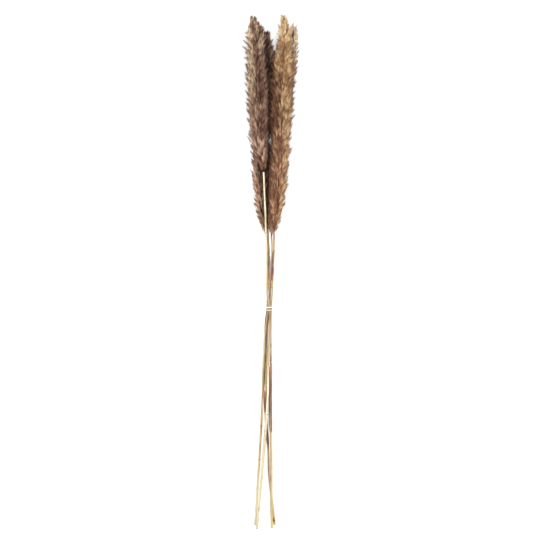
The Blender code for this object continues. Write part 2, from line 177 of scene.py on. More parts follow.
# Each route runs from the cut end to the tip: across, along and above the surface, in millimetres. A head's
# reach is how far its tufts stand out from the route at places along it.
ROUTES = {
    "left": (
        (-30.5, -552.6, 6.6), (-25.5, -500.0, 8.0), (-20.6, -447.2, 9.4), (-17.2, -404.2, 10.8),
        (-13.3, -363.4, 12.2), (-9.2, -307.5, 14.2), (-6.7, -253.7, 15.6), (-5.6, -167.7, 17.4),
        (-4.5, -107.5, 18.7), (-4.0, -79.6, 19.45), (-4.5, -66.0, 20.9), (-7.4, -49.5, 23.2),
        (-9.3, -28.0, 25.2), (-9.0, -6.5, 26.2), (-9.2, 36.5, 28.0), (-10.3, 66.7, 29.4),
        (-11.5, 105.0, 31.8), (-11.9, 127.0, 33.3), (-12.8, 148.0, 34.8), (-14.0, 170.0, 36.3),
        (-15.9, 215.0, 39.5), (-19.4, 240.8, 41.5), (-24.1, 266.6, 43.5), (-26.4, 326.8, 46.0),
        (-28.2, 380.6, 47.0), (-33.0, 477.3, 46.5), (-34.0, 511.7, 45.5), (-36.1, 531.0, 44.5),
        (-39.6, 550.4, 43.5),
    ),
    "middle": (
        (-34.0, -545.2, 2.9), (-31.2, -500.0, 3.0), (-28.0, -447.2, 3.2), (-25.2, -404.2, 4.4),
        (-22.9, -361.0, 6.2), (-21.0, -331.1, 7.5), (-17.2, -253.7, 10.9), (-14.6, -167.7, 14.5),
        (-11.0, -107.5, 16.4), (-8.2435, -79.6, 17.0), (-7.4, -49.5, 16.8), (-6.5, -28.0, 16.5),
        (-5.6, -6.5, 16.2), (-5.2, 15.1, 15.9), (-4.6, 36.5, 15.6), (-5.2, 58.1, 15.4), (-10.8, 79.6, 15.2),
        (-14.6, 103.2, 15.0), (-17.6, 124.7, 15.0), (-20.9, 191.4, 15.0), (-21.5, 240.8, 15.0),
        (-19.4, 283.8, 15.0), (-14.4, 369.8, 15.0), (-10.8, 440.0, 14.8), (-9.7, 494.5, 14.4),
        (-7.5, 520.3, 14.0),
    ),
    "right": (
        (2.0, -550.4, 7.6), (0.9, -510.0, 8.2), (0.8, -468.7, 8.8), (0.8, -415.0, 9.6),
        (-0.2, -344.0, 10.7), (-0.4, -253.7, 13.1), (-0.2, -167.7, 15.4), (0.2, -107.5, 16.6),
        (0.2435, -79.6, 17.0), (1.5, -49.5, 18.7), (2.6, -28.0, 20.2), (3.4, -6.5, 21.7), (5.2, 36.5, 24.9),
        (6.5, 58.1, 26.5), (6.5, 81.7, 28.3), (7.7, 103.2, 30.2), (10.1, 129.0, 32.8), (12.9, 165.6, 36.5),
        (15.9, 197.8, 39.8), (17.8, 230.0, 42.8), (19.4, 262.3, 45.0), (22.1, 348.3, 47.5),
        (22.6, 391.3, 48.0), (24.2, 434.3, 48.0), (28.0, 477.3, 47.5), (30.0, 509.6, 46.5),
        (28.6, 537.5, 45.3), (25.8, 552.6, 44.5),
    ),
    "back": (
        (7.5, -544.0, 2.9), (4.6, -512.0, 2.9), (0.9, -483.8, 2.9), (-3.1, -447.2, 3.2),
        (-4.8, -415.0, 3.9), (-6.4, -372.0, 5.1), (-8.8, -333.3, 6.4), (-11.0, -296.7, 7.6),
        (-11.7, -253.7, 9.0), (-9.2, -167.7, 11.8), (-6.0, -107.5, 13.6), (-4.0, -79.6, 14.55),
        (-2.6, -49.5, 13.8), (-1.2, -28.0, 13.4), (0.0, -6.5, 13.2), (1.0, 15.1, 13.2), (2.0, 36.5, 13.4),
        (2.2, 58.1, 13.5), (0.8, 77.4, 13.5), (1.7, 111.8, 13.7), (3.4, 139.8, 14.0), (6.5, 165.6, 14.6),
        (9.2, 197.8, 15.0), (13.5, 240.8, 15.0), (21.5, 305.3, 15.0), (30.5, 391.3, 15.0),
        (36.5, 423.6, 15.0), (43.2, 477.3, 14.8), (47.3, 498.8, 14.6), (49.9, 520.3, 14.4),
        (51.2, 533.2, 14.2),
    ),
}
REACHES = {
    "left": (
        (215.0, 2.4), (223.6, 5.0), (234.4, 9.0), (249.4, 14.0), (266.6, 18.0), (294.5, 19.5),
        (352.6, 22.0), (380.6, 23.3), (417.0, 22.3), (455.8, 20.5), (494.5, 20.0), (511.7, 18.0),
        (526.8, 14.5), (539.7, 9.0), (550.4, 3.0),
    ),
    "middle": (
        (79.6, 2.4), (92.5, 4.6), (103.2, 7.0), (114.0, 9.5), (139.8, 13.6), (165.6, 16.5), (191.4, 17.6),
        (240.8, 18.8), (283.8, 16.6), (369.8, 16.8), (412.8, 17.2), (455.8, 16.4), (477.3, 14.5),
        (494.5, 11.5), (509.6, 7.8), (520.3, 3.0),
    ),
    "right": (
        (81.7, 2.4), (90.3, 3.6), (96.8, 6.2), (111.8, 11.4), (129.0, 13.4), (165.6, 17.6), (197.8, 19.6),
        (230.0, 19.2), (262.3, 20.3), (305.3, 20.8), (337.6, 22.8), (380.6, 23.3), (423.6, 22.5),
        (451.5, 20.8), (470.0, 17.5), (498.8, 13.8), (520.3, 12.0), (537.5, 9.0), (552.6, 2.6),
    ),
    "back": (
        (77.4, 2.4), (90.3, 4.0), (111.8, 8.0), (139.8, 10.5), (165.6, 12.8), (197.8, 15.0), (240.8, 17.0),
        (305.3, 18.0), (359.0, 18.6), (423.6, 17.4), (455.8, 15.4), (477.3, 13.2), (498.8, 9.6),
        (520.3, 7.2), (533.2, 2.6),
    ),
}
SEEDS = {"left": 4, "middle": 5, "right": 6, "back": 7}


class Track:
    """A plume's route as a finely stepped smooth curve, with the reach of its head."""

    def __init__(self, route, reach):
        self.route = route
        self.foot = route[0, 1]
        self.tip = route[-1, 1]
        self.head_base = reach[0, 0]
        self.reach_stops = reach
        self.y = np.arange(self.foot, self.tip + 0.5 * MM, MM)
        self.x, self.z = self.smooth_centres().T

    def smooth_centres(self):
        """Places across and up of a curve that passes every point of the route without a kink."""
        longer = np.concatenate([self.route[:1], self.route, self.route[-1:]])
        slopes = (longer[2:] - longer[:-2]) / (longer[2:, 1:2] - longer[:-2, 1:2])
        index = np.clip(np.searchsorted(self.route[:, 1], self.y) - 1, 0, len(self.route) - 2)
        start, end = self.route[index], self.route[index + 1]
        span = end[:, 1:2] - start[:, 1:2]
        t = np.clip((self.y[:, None] - start[:, 1:2]) / span, 0.0, 1.0)
        curve = (2 * t**3 - 3 * t**2 + 1) * start + (t**3 - 2 * t**2 + t) * (slopes[index] * span)
        curve += (3 * t**2 - 2 * t**3) * end + (t**3 - t**2) * (slopes[index + 1] * span)
        return curve[:, (0, 2)]

    def at(self, y):
        """The curve's centre, across and up, at one or many places along it."""
        return np.interp(y, self.y, self.x), np.interp(y, self.y, self.z)

    def around(self, y, angle, radius):
        """Points at a way round the curve and a distance from it, at places along it."""
        x, z = self.at(y)
        return np.stack([x + radius * np.cos(angle), y, z + radius * np.sin(angle)], 1)

    def reach(self, y):
        """How far the head's tufts stand out at places along it."""
        return np.interp(y, self.reach_stops[:, 0], self.reach_stops[:, 1], left=0.0, right=0.0)


TRACKS = {name: Track(millimetres(ROUTES[name]), millimetres(REACHES[name])) for name in ROUTES}


# Making and joining pieces


def deselect_all():
    bpy.ops.object.select_all(action="DESELECT")


def select_only(*things):
    deselect_all()
    for thing in things:
        thing.select_set(True)
    bpy.context.view_layer.objects.active = things[0]


def settle(thing):
    """Applies a piece's place, turn and size to its mesh."""
    select_only(thing)
    bpy.ops.object.transform_apply(location=True, rotation=True, scale=True)
    return thing


def join(things, name):
    """Joins things into one piece with a new name."""
    select_only(*things)
    bpy.ops.object.join()
    joined = bpy.context.object
    joined.name = name
    joined.data.name = name
    return settle(joined)


def apply_modifiers(thing):
    select_only(thing)
    for modifier in list(thing.modifiers):
        bpy.ops.object.modifier_apply(modifier=modifier.name)
    return thing


def make_mesh_piece(name, points, faces):
    """A new piece from points and faces."""
    mesh = bpy.data.meshes.new(name)
    mesh.from_pydata(points.tolist(), [], faces.tolist())
    piece = bpy.data.objects.new(name, mesh)
    bpy.context.collection.objects.link(piece)
    return piece


def add_values(piece, name, values):
    """Stores one number for each point of the mesh, for its material to read."""
    layer = piece.data.attributes.new(name, "FLOAT", "POINT")
    layer.data.foreach_set("value", np.asarray(values, np.float32))


def add_colours(piece, colours):
    """Stores each point's own colour under the name tint."""
    layer = piece.data.attributes.new("tint", "FLOAT_COLOR", "POINT")
    layer.data.foreach_set("color", np.asarray(colours, np.float32).ravel())


def points_of(piece):
    """The points of a mesh, one row each."""
    points = np.empty(len(piece.data.vertices) * 3)
    piece.data.vertices.foreach_get("co", points)
    return points.reshape(-1, 3)


def smooth(piece):
    piece.data.polygons.foreach_set("use_smooth", [True] * len(piece.data.polygons))


def ride(piece, *nodes, slot):
    """Tells the frame what a piece moves with and what it stands in for. The slot, what it is made of, is not
    used.
    """
    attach(piece, "root")
    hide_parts(*nodes)
    return piece


# Colours


def srgb(red, green, blue):
    """A colour given on the 0 to 255 scale, as the linear values that a shader takes."""
    parts = []
    for part in (red, green, blue):
        share = part / 255.0
        parts.append(share / 12.92 if share <= 0.04045 else ((share + 0.055) / 1.055) ** 2.4)
    return (*parts, 1.0)


def lit(red, green, blue):
    """The colour that a surface needs to look like this one in the studio's bright light."""
    colour = np.array(srgb(red, green, blue))
    colour[:3] /= BRIGHTNESS
    return colour


def colours_along(y, across, stops):
    """Colours along and across a stem, blended between stops.

    A stop is a place in millimetres, then its left and its right shade, or one shade for both.
    """
    places = np.array([stop[0] for stop in stops]) * MM
    sides = []
    for side in (1, -1):
        colours = np.array([lit(*SHADES[stop[side]]) for stop in stops])
        sides.append(np.stack([np.interp(y, places, colours[:, channel]) for channel in range(4)], -1))
    return mixed(sides[0], sides[1], ease(across, -0.45, 0.45))


def ease(value, low, high):
    """A smooth rise from 0 at one value to 1 at another."""
    share = np.clip((value - low) / (high - low), 0.0, 1.0)
    return share * share * (3.0 - 2.0 * share)


def fade(value, low, high):
    """A smooth fall from 1 at one value to 0 at another."""
    return 1.0 - ease(value, low, high)


def peak(value, middle, width):
    """1 at a middle value, and less and less on both sides of it."""
    return np.exp(-(((value - middle) / width) ** 2))


def mixed(first, second, share):
    """Two colours, or lists of them, blended by a share for each."""
    return first + (second - first) * np.asarray(share)[..., None]


# Dull and bright colours of each plume's sprigs: its own, its dusky parts' and its lower part's. The dusky
# colours are partly each plume's own darker colour and partly painted shade; the middle plume's are near
# black.
PLUME_COLOURS = {
    "left": (
        ((184, 139, 107), (255, 229, 196)), ((74, 40, 32), (162, 112, 94)), ((164, 122, 98), (242, 204, 176)),
    ),
    "middle": (
        ((152, 104, 78), (252, 210, 178)), ((38, 23, 15), (88, 56, 40)), ((152, 104, 78), (252, 210, 178)),
    ),
    "right": (
        ((208, 147, 90), (255, 225, 172)), ((66, 38, 27), (182, 132, 98)), ((122, 77, 55), (224, 174, 138)),
    ),
    "back": (
        ((212, 170, 136), (255, 234, 204)), ((104, 58, 44), (196, 142, 114)), ((70, 42, 30), (140, 98, 76)),
    ),
}

# How strongly a plume's tufts differ from each other
PATCHY = {"left": 0.28, "middle": 0.12, "right": 0.5, "back": 0.14}


def shares_of_colour(name, angle, y, dice):
    """How dusky a plume is where a lock stands and how much of its lower part's colour it has there. The
    duskiness is partly the plume's own darker colour and partly painted shade: the middle plume, which lies
    in the shade of the other two, is dark but for its lower left side, and the right plume along part of its
    left side.

    Both depend on the lock's way round the head and its place along it, which is in millimetres below.
    """
    upward = np.sin(angle)
    rightward = np.cos(angle)
    chance = dice.normal(0.0, 0.19, len(y))
    y = y / MM
    if name == "left":
        line = np.interp(y, (400, 460, 515), (0.22, 0.0, -0.35))
        middle = peak(rightward, line, 0.36) * ease(upward, -0.2, 0.5) * ease(y, 235, 305)
        right_edge = ease(rightward, 0.3, 0.8) * ease(y, 240, 300) * fade(y, 430, 500)
        left_foot = ease(-rightward, 0.2, 0.7) * fade(y, 235, 270)
        shoulder = ease(rightward, 0.45, 0.8) * ease(y, 470, 495)
        dusk_and_shade = 0.95 * middle + 0.5 * right_edge + 0.75 * left_foot + 0.65 * shoulder
        low = fade(y, 300, 390)
    elif name == "middle":
        # Painted shade: the middle plume lies under the other two, so all but its lower left side is dusky.
        lower = fade(y, 190, 262) * fade(rightward, -0.6, 0.6)
        lower *= 1.0 - 0.85 * peak(y, 205, 20) * ease(rightward, -0.8, -0.4)
        right_edge = ease(rightward, 0.2, 0.8) * ease(y, 425, 460)
        dusk_and_shade = 1.0 - lower - 0.45 * ease(y, 482, 505) - 0.4 * right_edge
        low = np.zeros(len(y))
    elif name == "right":
        shade = ease(-rightward, -0.3, 0.85) * ease(y, 255, 280) * fade(y, 385, 445)
        shade *= 1.0 + 0.5 * peak(y, 305, 20)
        flank = ease(rightward, 0.4, 0.9) * ease(y, 300, 350) * fade(y, 410, 450)
        dusk_and_shade = 1.1 * shade + 0.3 * flank
        low = 1.0 - 0.8 * ease(y, 230, 330) - 0.2 * ease(y, 400, 470)
        low *= 1.0 - 0.7 * ease(rightward, 0.45, 0.95)
        low += 0.38 * peak(rightward, -0.1, 0.45) * peak(y, 455, 40)
    else:
        dusk_and_shade = 0.75 * fade(y, 420, 475)
        low = ease(-rightward, 0.1, 0.7) * fade(y, 330, 420)
    return np.clip(dusk_and_shade + chance, 0.0, 1.0), np.clip(low + chance * 0.5, 0.0, 1.0)


def tone_and_painted_light(name, rightward, y):
    """How much paler or darker a plume's sprigs are on its two sides and towards its tip: partly its own
    paler and darker parts, and partly painted light and shade, lighter on the left of the left and middle
    plumes and darker where a plume lies against its neighbours.

    The places along it are in millimetres below.
    """
    y = y / MM
    if name == "left":
        # Painted light: the left side paler.
        lit_side = 0.22 + 0.3 * ease(y, 430, 460) - 0.5 * ease(y, 495, 515)
        lit_side *= ease(-rightward, 0.4, 0.9)
        streak = 0.45 * peak(rightward, 0.3, 0.25) * ease(y, 465, 490)
        dark_line = 0.2 * peak(rightward, -0.28, 0.22) * ease(y, 480, 500)
        ripe_foot = 0.4 * peak(rightward, 0.0, 0.4) * fade(y, 250, 280)
        shaded_side = 0.6 * ease(rightward, 0.45, 0.85) * fade(y, 290, 320)
        return lit_side + streak - dark_line + ripe_foot - shaded_side
    if name == "middle":
        # Painted light on the left side and painted shade towards the right, on the lower part.
        lit_side = 0.35 * ease(-rightward, 0.4, 0.9) * (0.3 + 0.7 * ease(y, 95, 130))
        return (lit_side - 0.35 * ease(rightward, -0.7, -0.1)) * fade(y, 200, 262)
    if name == "back":
        return 0.2 + 0.7 * ease(y, 440, 520)
    lower_left = 0.36 * ease(-rightward, 0.2, 0.7) * fade(y, 250, 275)
    dull_line = 0.25 * peak(rightward, -0.25, 0.25) * fade(y, 315, 345)
    # Painted shade: part of the left side darker, where it lies against the left plume.
    dark_side = 0.28 * ease(-rightward, 0.3, 0.75) * peak(y, 325, 36)
    bright_middle = 0.6 * peak(rightward, 0.3, 0.28) * peak(y, 305, 28)
    lower = 0.1 * fade(y, 190, 240) * fade(rightward, 0.3, 0.8)
    sides = 0.2 * ease(rightward, 0.1, 0.8) + 0.12 * ease(rightward, 0.2, 0.8) * ease(y, 430, 450)
    tip = 0.5 * ease(y, 450, 525) + 0.25 * ease(y, 510, 530)
    right_part = 0.2 * ease(rightward, 0.0, 0.5) * ease(y, 400, 430)
    ripening = 2.2 * ease(y, 115, 175) - 1.2
    right_part += 0.18 * ease(rightward, -0.15, 0.2) * fade(y, 300, 330) * ripening
    return tip + sides + bright_middle + right_part - lower - dull_line - dark_side + lower_left


# Sprigs: the few small shapes that are copied to make the heads


def make_grain(length, width):
    """A slim grain or hair, three-sided and pointed at both ends, that stands along +Y from the origin."""
    blade = length * (1.0 - WIDEST)
    deselect_all()
    bpy.ops.mesh.primitive_cone_add(
        vertices=3, radius1=width / 2, radius2=0.0, depth=blade, end_fill_type="TRIFAN"
    )
    grain = bpy.context.object
    grain.location.z = length - blade / 2
    settle(grain)
    bpy.ops.object.mode_set(mode="EDIT")
    bpy.ops.mesh.select_all(action="DESELECT")
    shape = bmesh.from_edit_mesh(grain.data)
    for vertex in shape.verts:
        vertex.select = math.hypot(vertex.co.x, vertex.co.y) < width * 0.1 and vertex.co.z < length * 0.9
    bmesh.update_edit_mesh(grain.data)
    bpy.ops.transform.translate(value=(0.0, 0.0, -length * WIDEST))
    bpy.ops.object.mode_set(mode="OBJECT")
    grain.rotation_euler.x = -math.pi / 2
    return settle(grain)


def make_sprig(grains):
    """A sprig from a list of (start, length, width, tilt, way round), one unit long, standing along +Y."""
    made = []
    for start, length, width, tilt, around in grains:
        grain = make_grain(length, width)
        grain.rotation_euler.z = -math.radians(tilt)
        settle(grain)
        grain.rotation_euler.y = math.radians(around)
        grain.location.y = start
        made.append(settle(grain))
    sprig = join(made, "sprig")
    points = points_of(sprig)
    faces = np.array([face.vertices[:] for face in sprig.data.polygons])
    bpy.data.objects.remove(sprig)
    return points, faces


def make_sprigs():
    """Sprigs of plump grains, looser ones, and ones of fine hair."""
    leafy = [
        (0.00, 0.56, 0.040, 0.0, 0.0), (0.05, 0.45, 0.050, 6.0, 20.0), (0.17, 0.42, 0.050, 7.0, 200.0),
        (0.28, 0.42, 0.052, 6.0, 120.0), (0.38, 0.40, 0.052, 6.0, 300.0), (0.46, 0.40, 0.056, 4.0, 40.0),
        (0.54, 0.38, 0.058, 3.0, 230.0), (0.60, 0.40, 0.058, 0.0, 0.0),
    ]
    loose = [
        (0.00, 0.56, 0.038, 0.0, 0.0), (0.04, 0.46, 0.048, 9.0, 330.0), (0.18, 0.44, 0.046, 8.0, 150.0),
        (0.30, 0.42, 0.050, 9.0, 60.0), (0.39, 0.44, 0.046, 10.0, 240.0), (0.47, 0.40, 0.050, 6.0, 350.0),
        (0.56, 0.38, 0.050, 6.0, 170.0), (0.56, 0.44, 0.052, 1.0, 0.0),
    ]
    silky = [
        (0.00, 0.70, 0.028, 0.0, 0.0), (0.15, 0.55, 0.020, 9.0, 10.0), (0.22, 0.55, 0.020, 11.0, 130.0),
        (0.30, 0.56, 0.020, 8.0, 250.0), (0.38, 0.52, 0.020, 12.0, 70.0), (0.45, 0.50, 0.020, 7.0, 190.0),
        (0.50, 0.50, 0.020, 10.0, 310.0), (0.44, 0.58, 0.030, 1.0, 0.0),
    ]
    return [make_sprig(grains) for grains in (leafy, loose, silky)]


# Heads


def kept_clear(name, x, y, z, gap):
    """Points moved towards their own plume's middle where another plume or its stem is in their way."""
    own = TRACKS[name]
    own_x, own_z = own.at(y)
    own_reach = own.reach(y)
    for other_name, other in TRACKS.items():
        if other_name == name:
            continue
        other_x, other_z = other.at(y)
        across, up = other_x - own_x, other_z - own_z
        distance = np.hypot(across, up)
        across, up = across / distance, up / distance
        other_reach = other.reach(y)
        between_heads = distance * own_reach / np.maximum(own_reach + other_reach, 1e-6)
        beside_stem = distance - STEM_RADIUS * 1.3
        limit = np.where(other_reach > 0.0, between_heads + INTERLOCK, beside_stem) - gap
        limit = np.where(y > other.tip + 12.0 * MM, 1.0, limit)
        over = np.maximum((x - own_x) * across + (z - own_z) * up - limit, 0.0)
        x = x - across * over
        z = z - up * over
    return x, z


def in_the_opening(spots, size):
    """Whether points lie in the gap between the middle and the right head, at shares of its full size."""
    x, y, half_width, half_length = OPENING
    return ((spots[:, 0] - x) / half_width) ** 2 + ((spots[:, 1] - y) / half_length) ** 2 < size**2


def patchiness(angle, y, dice):
    """A slow change over a head, from -1 to 1, that sets darker and paler tufts beside each other."""
    values = dice.uniform(-1.0, 1.0, (9, 40))
    around = (angle / (2 * math.pi) % 1.0) * 9
    along = (y - y.min()) / (15.0 * MM)
    left, low = np.floor(around).astype(int), np.floor(along).astype(int)
    across, up = ease(around - left, 0.0, 1.0), ease(along - low, 0.0, 1.0)
    near = mixed(values[left % 9, low][:, None], values[(left + 1) % 9, low][:, None], across)
    far = mixed(values[left % 9, low + 1][:, None], values[(left + 1) % 9, low + 1][:, None], across)
    return mixed(near, far, up)[:, 0]


def spread_along(track, count):
    """Places along the head for its locks, closer together where it is thicker."""
    y = np.linspace(track.head_base, track.tip - CREST, 400)
    weight = 0.3 + track.reach(y) / FULLEST_RADIUS
    total = np.concatenate([[0.0], np.cumsum((weight[1:] + weight[:-1]) / 2)])
    return np.interp((np.arange(count) + 0.5) / count, total / total[-1], y)


def pressed(name, angle, y):
    """How much further a head spreads where it fills the narrow space beside its neighbour.

    The places along it are in millimetres below.
    """
    rightward = np.cos(angle)
    y = y / MM
    if name == "middle":
        tip_side = ease(-rightward, 0.1, 0.6) * ease(y, 470.0, 495.0)
        right_side = ease(rightward, 0.4, 0.8) * fade(y, 440.0, 480.0)
        return 1.0 + (0.45 + 0.15 * fade(y, 230.0, 260.0)) * right_side + 0.6 * tip_side
    if name == "back":
        return 1.0 + 0.45 * ease(-rightward, 0.4, 0.8)
    if name == "left":
        return 1.0 + 0.3 * ease(rightward, 0.3, 0.8) * ease(y, 470.0, 505.0) * fade(y, 525.0, 540.0)
    return 1.0 - 0.3 * ease(-rightward, 0.3, 0.7) * fade(y, 230.0, 270.0)


def lay_locks(name):
    """Where each lock starts and ends, its way round, its tone, its two colours, and if it is bold or stray.

    The locks follow a spiral up the head, never quite even. Every third one is bold, so that it stands out as
    a point, and a few of those stray further.
    """
    track = TRACKS[name]
    dice = np.random.default_rng(SEEDS[name])
    fine = np.linspace(track.head_base, track.tip, 400)
    area = np.trapz(2 * math.pi * track.reach(fine), fine)
    count = int(area / LOCK_SPACING**2)
    y = spread_along(track, count) + dice.normal(0.0, PLACE_JITTER, count)
    bold = np.arange(count) % 3 == 0
    y = np.clip(y, track.head_base + 0.5 * MM, track.tip - CREST)
    angle = np.arange(count) * GOLDEN_TURN + dice.normal(0.0, TURN_JITTER[0], count)
    fullness = np.clip(track.reach(y + 8.0 * MM) / FULLEST_RADIUS, 0.0, 1.0)
    rise = (LOCK_RISE[0] + (LOCK_RISE[1] - LOCK_RISE[0]) * fullness) * dice.uniform(0.8, 1.2, count)
    rise *= np.where(bold, 0.8, 1.0)
    room = track.tip - BARE_TIPS[name] - y
    crest = ease(-room, -2.2 * CREST, -1.3 * CREST) * dice.random(count)
    end_y = y + np.maximum(room * (1.0 - np.exp(-rise / room)) ** 0.9, room * crest)
    wisp = bold & (room < 1.6 * CREST)
    end_y = np.where(wisp, track.tip - (BARE_TIPS[name] + 5.0 * MM) * dice.random(count), end_y)
    stray = bold & (dice.random(count) < STRAY_SHARE)
    beyond = np.where(bold, dice.uniform(*BOLD_REACH, count), 0.0)
    beyond += np.where(stray, dice.uniform(*STRAY_REACH, count), 0.0)
    beyond *= 1.0 - 0.6 * ease(end_y, track.tip - 30.0 * MM, track.tip)
    beyond *= 0.3 + 0.7 * ease(end_y, track.head_base, track.head_base + 45.0 * MM)
    if name == "left":
        leftward = ease(-np.cos(angle), 0.4, 0.8) * ease(end_y, 440.0 * MM, 470.0 * MM)
        beyond += np.where(stray, 3.0, 0.0) * leftward
    spread = np.where(bold, 1.0, dice.uniform(0.8, 0.98, count)) * pressed(name, angle, y)
    spread *= 0.72 + 0.28 * ease(end_y, track.head_base + 8.0 * MM, track.head_base + 32.0 * MM)
    start_radius = np.maximum(track.reach(y) * CORE_SHARE * 0.7, 1.0 * MM)
    end_radius = np.maximum(track.reach(end_y) * spread + beyond * MM, start_radius + 0.5 * MM)
    start = track.around(y, angle, start_radius)
    end = track.around(end_y, angle + dice.normal(0.0, TURN_JITTER[1], count), end_radius)
    end[:, 0], end[:, 2] = kept_clear(name, end[:, 0], end[:, 1], end[:, 2], 1.2 * MM)
    furthest = np.zeros(count, bool)
    for wisp_x, wisp_y in WISP_ENDS[name]:
        away = np.hypot(end[:, 0] - wisp_x * MM, end[:, 1] - wisp_y * MM) + np.where(bold, 0.0, 1.0)
        nearest = np.argmin(away)
        end[nearest, :2] = wisp_x * MM, wisp_y * MM
        stray[nearest] = True
        furthest[nearest] = True
    end[:, 2] = np.clip(end[:, 2], 0.8 * MM, HIGHEST - 1.5 * MM)
    # Bold locks, which stand out past the rest, are painted a little lighter: painted light on them.
    tone = dice.beta(1.6, 1.5, count) + np.where(bold, 0.12, 0.0) + tone_and_painted_light(name, np.cos(angle), y)
    tone = np.where(furthest, np.minimum(tone, 0.5), tone)
    dusk_and_shade, low = shares_of_colour(name, angle, y, dice)
    patch = patchiness(angle, y, dice) * PATCHY[name]
    tone += patch
    dusk_and_shade = np.clip(dusk_and_shade - patch * 0.6, 0.0, 1.0)
    own, dusky, lower = [np.array([srgb(*colour) for colour in pair]) for pair in PLUME_COLOURS[name]]
    dull, bright = [mixed(mixed(own[which], lower[which], low), dusky[which], dusk_and_shade) for which in (0, 1)]
    return start, end, angle, tone, dull, bright, bold, stray


def lay_sprigs(name, sprigs, steps):
    """The points and faces of these steps of a head's locks, with each point's place along its lock, its
    colour and its place out from the head's middle.
    """
    start, end, angle, tone, dull, bright, bold, stray = lay_locks(name)
    looseness = np.where(stray, 0.25, np.where(bold, 0.5, 1.0))
    track = TRACKS[name]
    count = len(start)
    line = end - start
    way = line / np.linalg.norm(line, axis=1)[:, None]
    side = np.cross(way, np.stack([np.cos(angle), np.zeros(count), np.sin(angle)], 1))
    side /= np.linalg.norm(side, axis=1)[:, None]
    out = np.cross(side, way)
    points, faces, along, tints = [], [], [], []
    placed = 0
    for step in steps:
        dice = np.random.default_rng(SEEDS[name] + 100 * (step + 1))
        kind = dice.choice(3, count, p=SPRIG_MIX)
        first = FIRSTS[step] + dice.uniform(-0.04, 0.06, count)
        last = LASTS[step] + dice.uniform(-0.05, 0.03, count)
        root = start + line * first[:, None]
        root += side * (dice.normal(0.0, 1.5 * MM, count) * np.where(stray, 0.6, 1.0))[:, None]
        root += out * dice.normal(0.0, 0.6 * MM, count)[:, None]
        tip = start + line * last[:, None]
        tip += side * (dice.normal(0.0, 1.0 * MM, count) * looseness)[:, None]
        tip += out * dice.normal(0.0, 0.4 * MM, count)[:, None]
        run = tip - root
        hole = dice.uniform(0.55, 1.1, count)
        spots = [root + run * share for share in (0.0, 0.25, 0.5, 0.75, 1.0)]
        clear = ~np.any([in_the_opening(spot, hole) for spot in spots], axis=0)
        run_length = np.linalg.norm(run, axis=1)
        forward = run / run_length[:, None]
        across = np.cross(forward, out)
        across /= np.linalg.norm(across, axis=1)[:, None]
        upward = np.cross(across, forward)
        roll = dice.uniform(0.0, 2 * math.pi, count)
        width = SPRIG_WIDTH * dice.uniform(0.8, 1.15, count) * np.where(bold, 1.15, 0.95)
        width *= np.where(stray & (last > 0.9), 0.6, 1.0)
        bow = dice.normal(-0.02, 0.05, count) * run_length
        sway = dice.normal(0.0, 0.04, count) * run_length
        lightness = np.clip(tone + dice.normal(0.0, 0.2, count), 0.0, 1.15)
        tint = mixed(dull, bright, lightness)
        for which, (shape, sides) in enumerate(sprigs):
            chosen = np.flatnonzero((kind == which) & clear)
            turn, wide = roll[chosen, None], width[chosen, None]
            turned_x = shape[:, 0] * np.cos(turn) - shape[:, 2] * np.sin(turn)
            turned_z = shape[:, 0] * np.sin(turn) + shape[:, 2] * np.cos(turn)
            s = np.broadcast_to(shape[:, 1], turned_x.shape)
            arch = 4.0 * s * (1.0 - s)
            sideways = turned_x * wide + sway[chosen, None] * arch
            outwards = turned_z * wide + bow[chosen, None] * arch
            placed_points = (
                root[chosen, None]
                + run[chosen, None] * s[..., None]
                + across[chosen, None] * sideways[..., None]
                + upward[chosen, None] * outwards[..., None]
            )
            offsets = placed + np.arange(len(chosen))[:, None, None] * len(shape)
            faces.append((sides[None] + offsets).reshape(-1, 3))
            points.append(placed_points.reshape(-1, 3))
            placed += len(points[-1])
            near_tip = ease(tip[chosen, 1:2], track.tip - 70.0 * MM, track.tip - 25.0 * MM)
            ripe = np.where(bold[chosen, None], 1.0, 0.72) * (1.0 - PALE_TIPS[name] * near_tip)
            along.append(((first[chosen, None] + (last - first)[chosen, None] * s) * ripe).ravel())
            tints.append(np.repeat(tint[chosen], len(shape), axis=0))
    points = np.concatenate(points)
    x, z = kept_clear(name, points[:, 0], points[:, 1], points[:, 2], 0.3 * MM)
    points[:, 0] = x
    points[:, 2] = np.where(z < 1.0 * MM, 0.3 * MM + 0.7 * MM * np.exp(np.minimum(z - 1.0 * MM, 0.0) / MM), z)
    centre_x, centre_z = track.at(points[:, 1])
    radius = np.hypot(points[:, 0] - centre_x, points[:, 2] - centre_z)
    depth = radius / np.maximum(track.reach(points[:, 1]), 2.5 * MM)
    return points, np.concatenate(faces), np.concatenate(along), np.concatenate(tints), depth


def new_curve(name, points, kind="POLY", dimensions="3D"):
    """A curve through points or led by them: its object, its data and its spline."""
    curve = bpy.data.curves.new(name, "CURVE")
    curve.dimensions = dimensions
    spline = curve.splines.new(kind)
    spline.points.add(len(points) - 1)
    for point, place in zip(spline.points, points):
        point.co = (*place, 1.0)
    thing = bpy.data.objects.new(name, curve)
    bpy.context.collection.objects.link(thing)
    return thing, curve, spline


def as_mesh(thing):
    """Turns a curve's object into a mesh."""
    select_only(thing)
    bpy.ops.object.convert(target="MESH")
    return bpy.context.object


def make_tube(name, y, x, z, radii, resolution):
    """A smooth closed tube through points along the bundle, with a radius at each."""
    tube, curve, spline = new_curve(name, np.stack([x, y, z], 1))
    curve.bevel_depth = 1.0
    curve.bevel_resolution = resolution
    curve.use_fill_caps = True
    for point, radius in zip(spline.points, radii):
        point.radius = radius
    tube = as_mesh(tube)
    bpy.ops.object.mode_set(mode="EDIT")
    bpy.ops.mesh.select_all(action="SELECT")
    bpy.ops.mesh.remove_doubles(threshold=1e-5)
    bpy.ops.mesh.normals_make_consistent(inside=False)
    bpy.ops.object.mode_set(mode="OBJECT")
    return tube


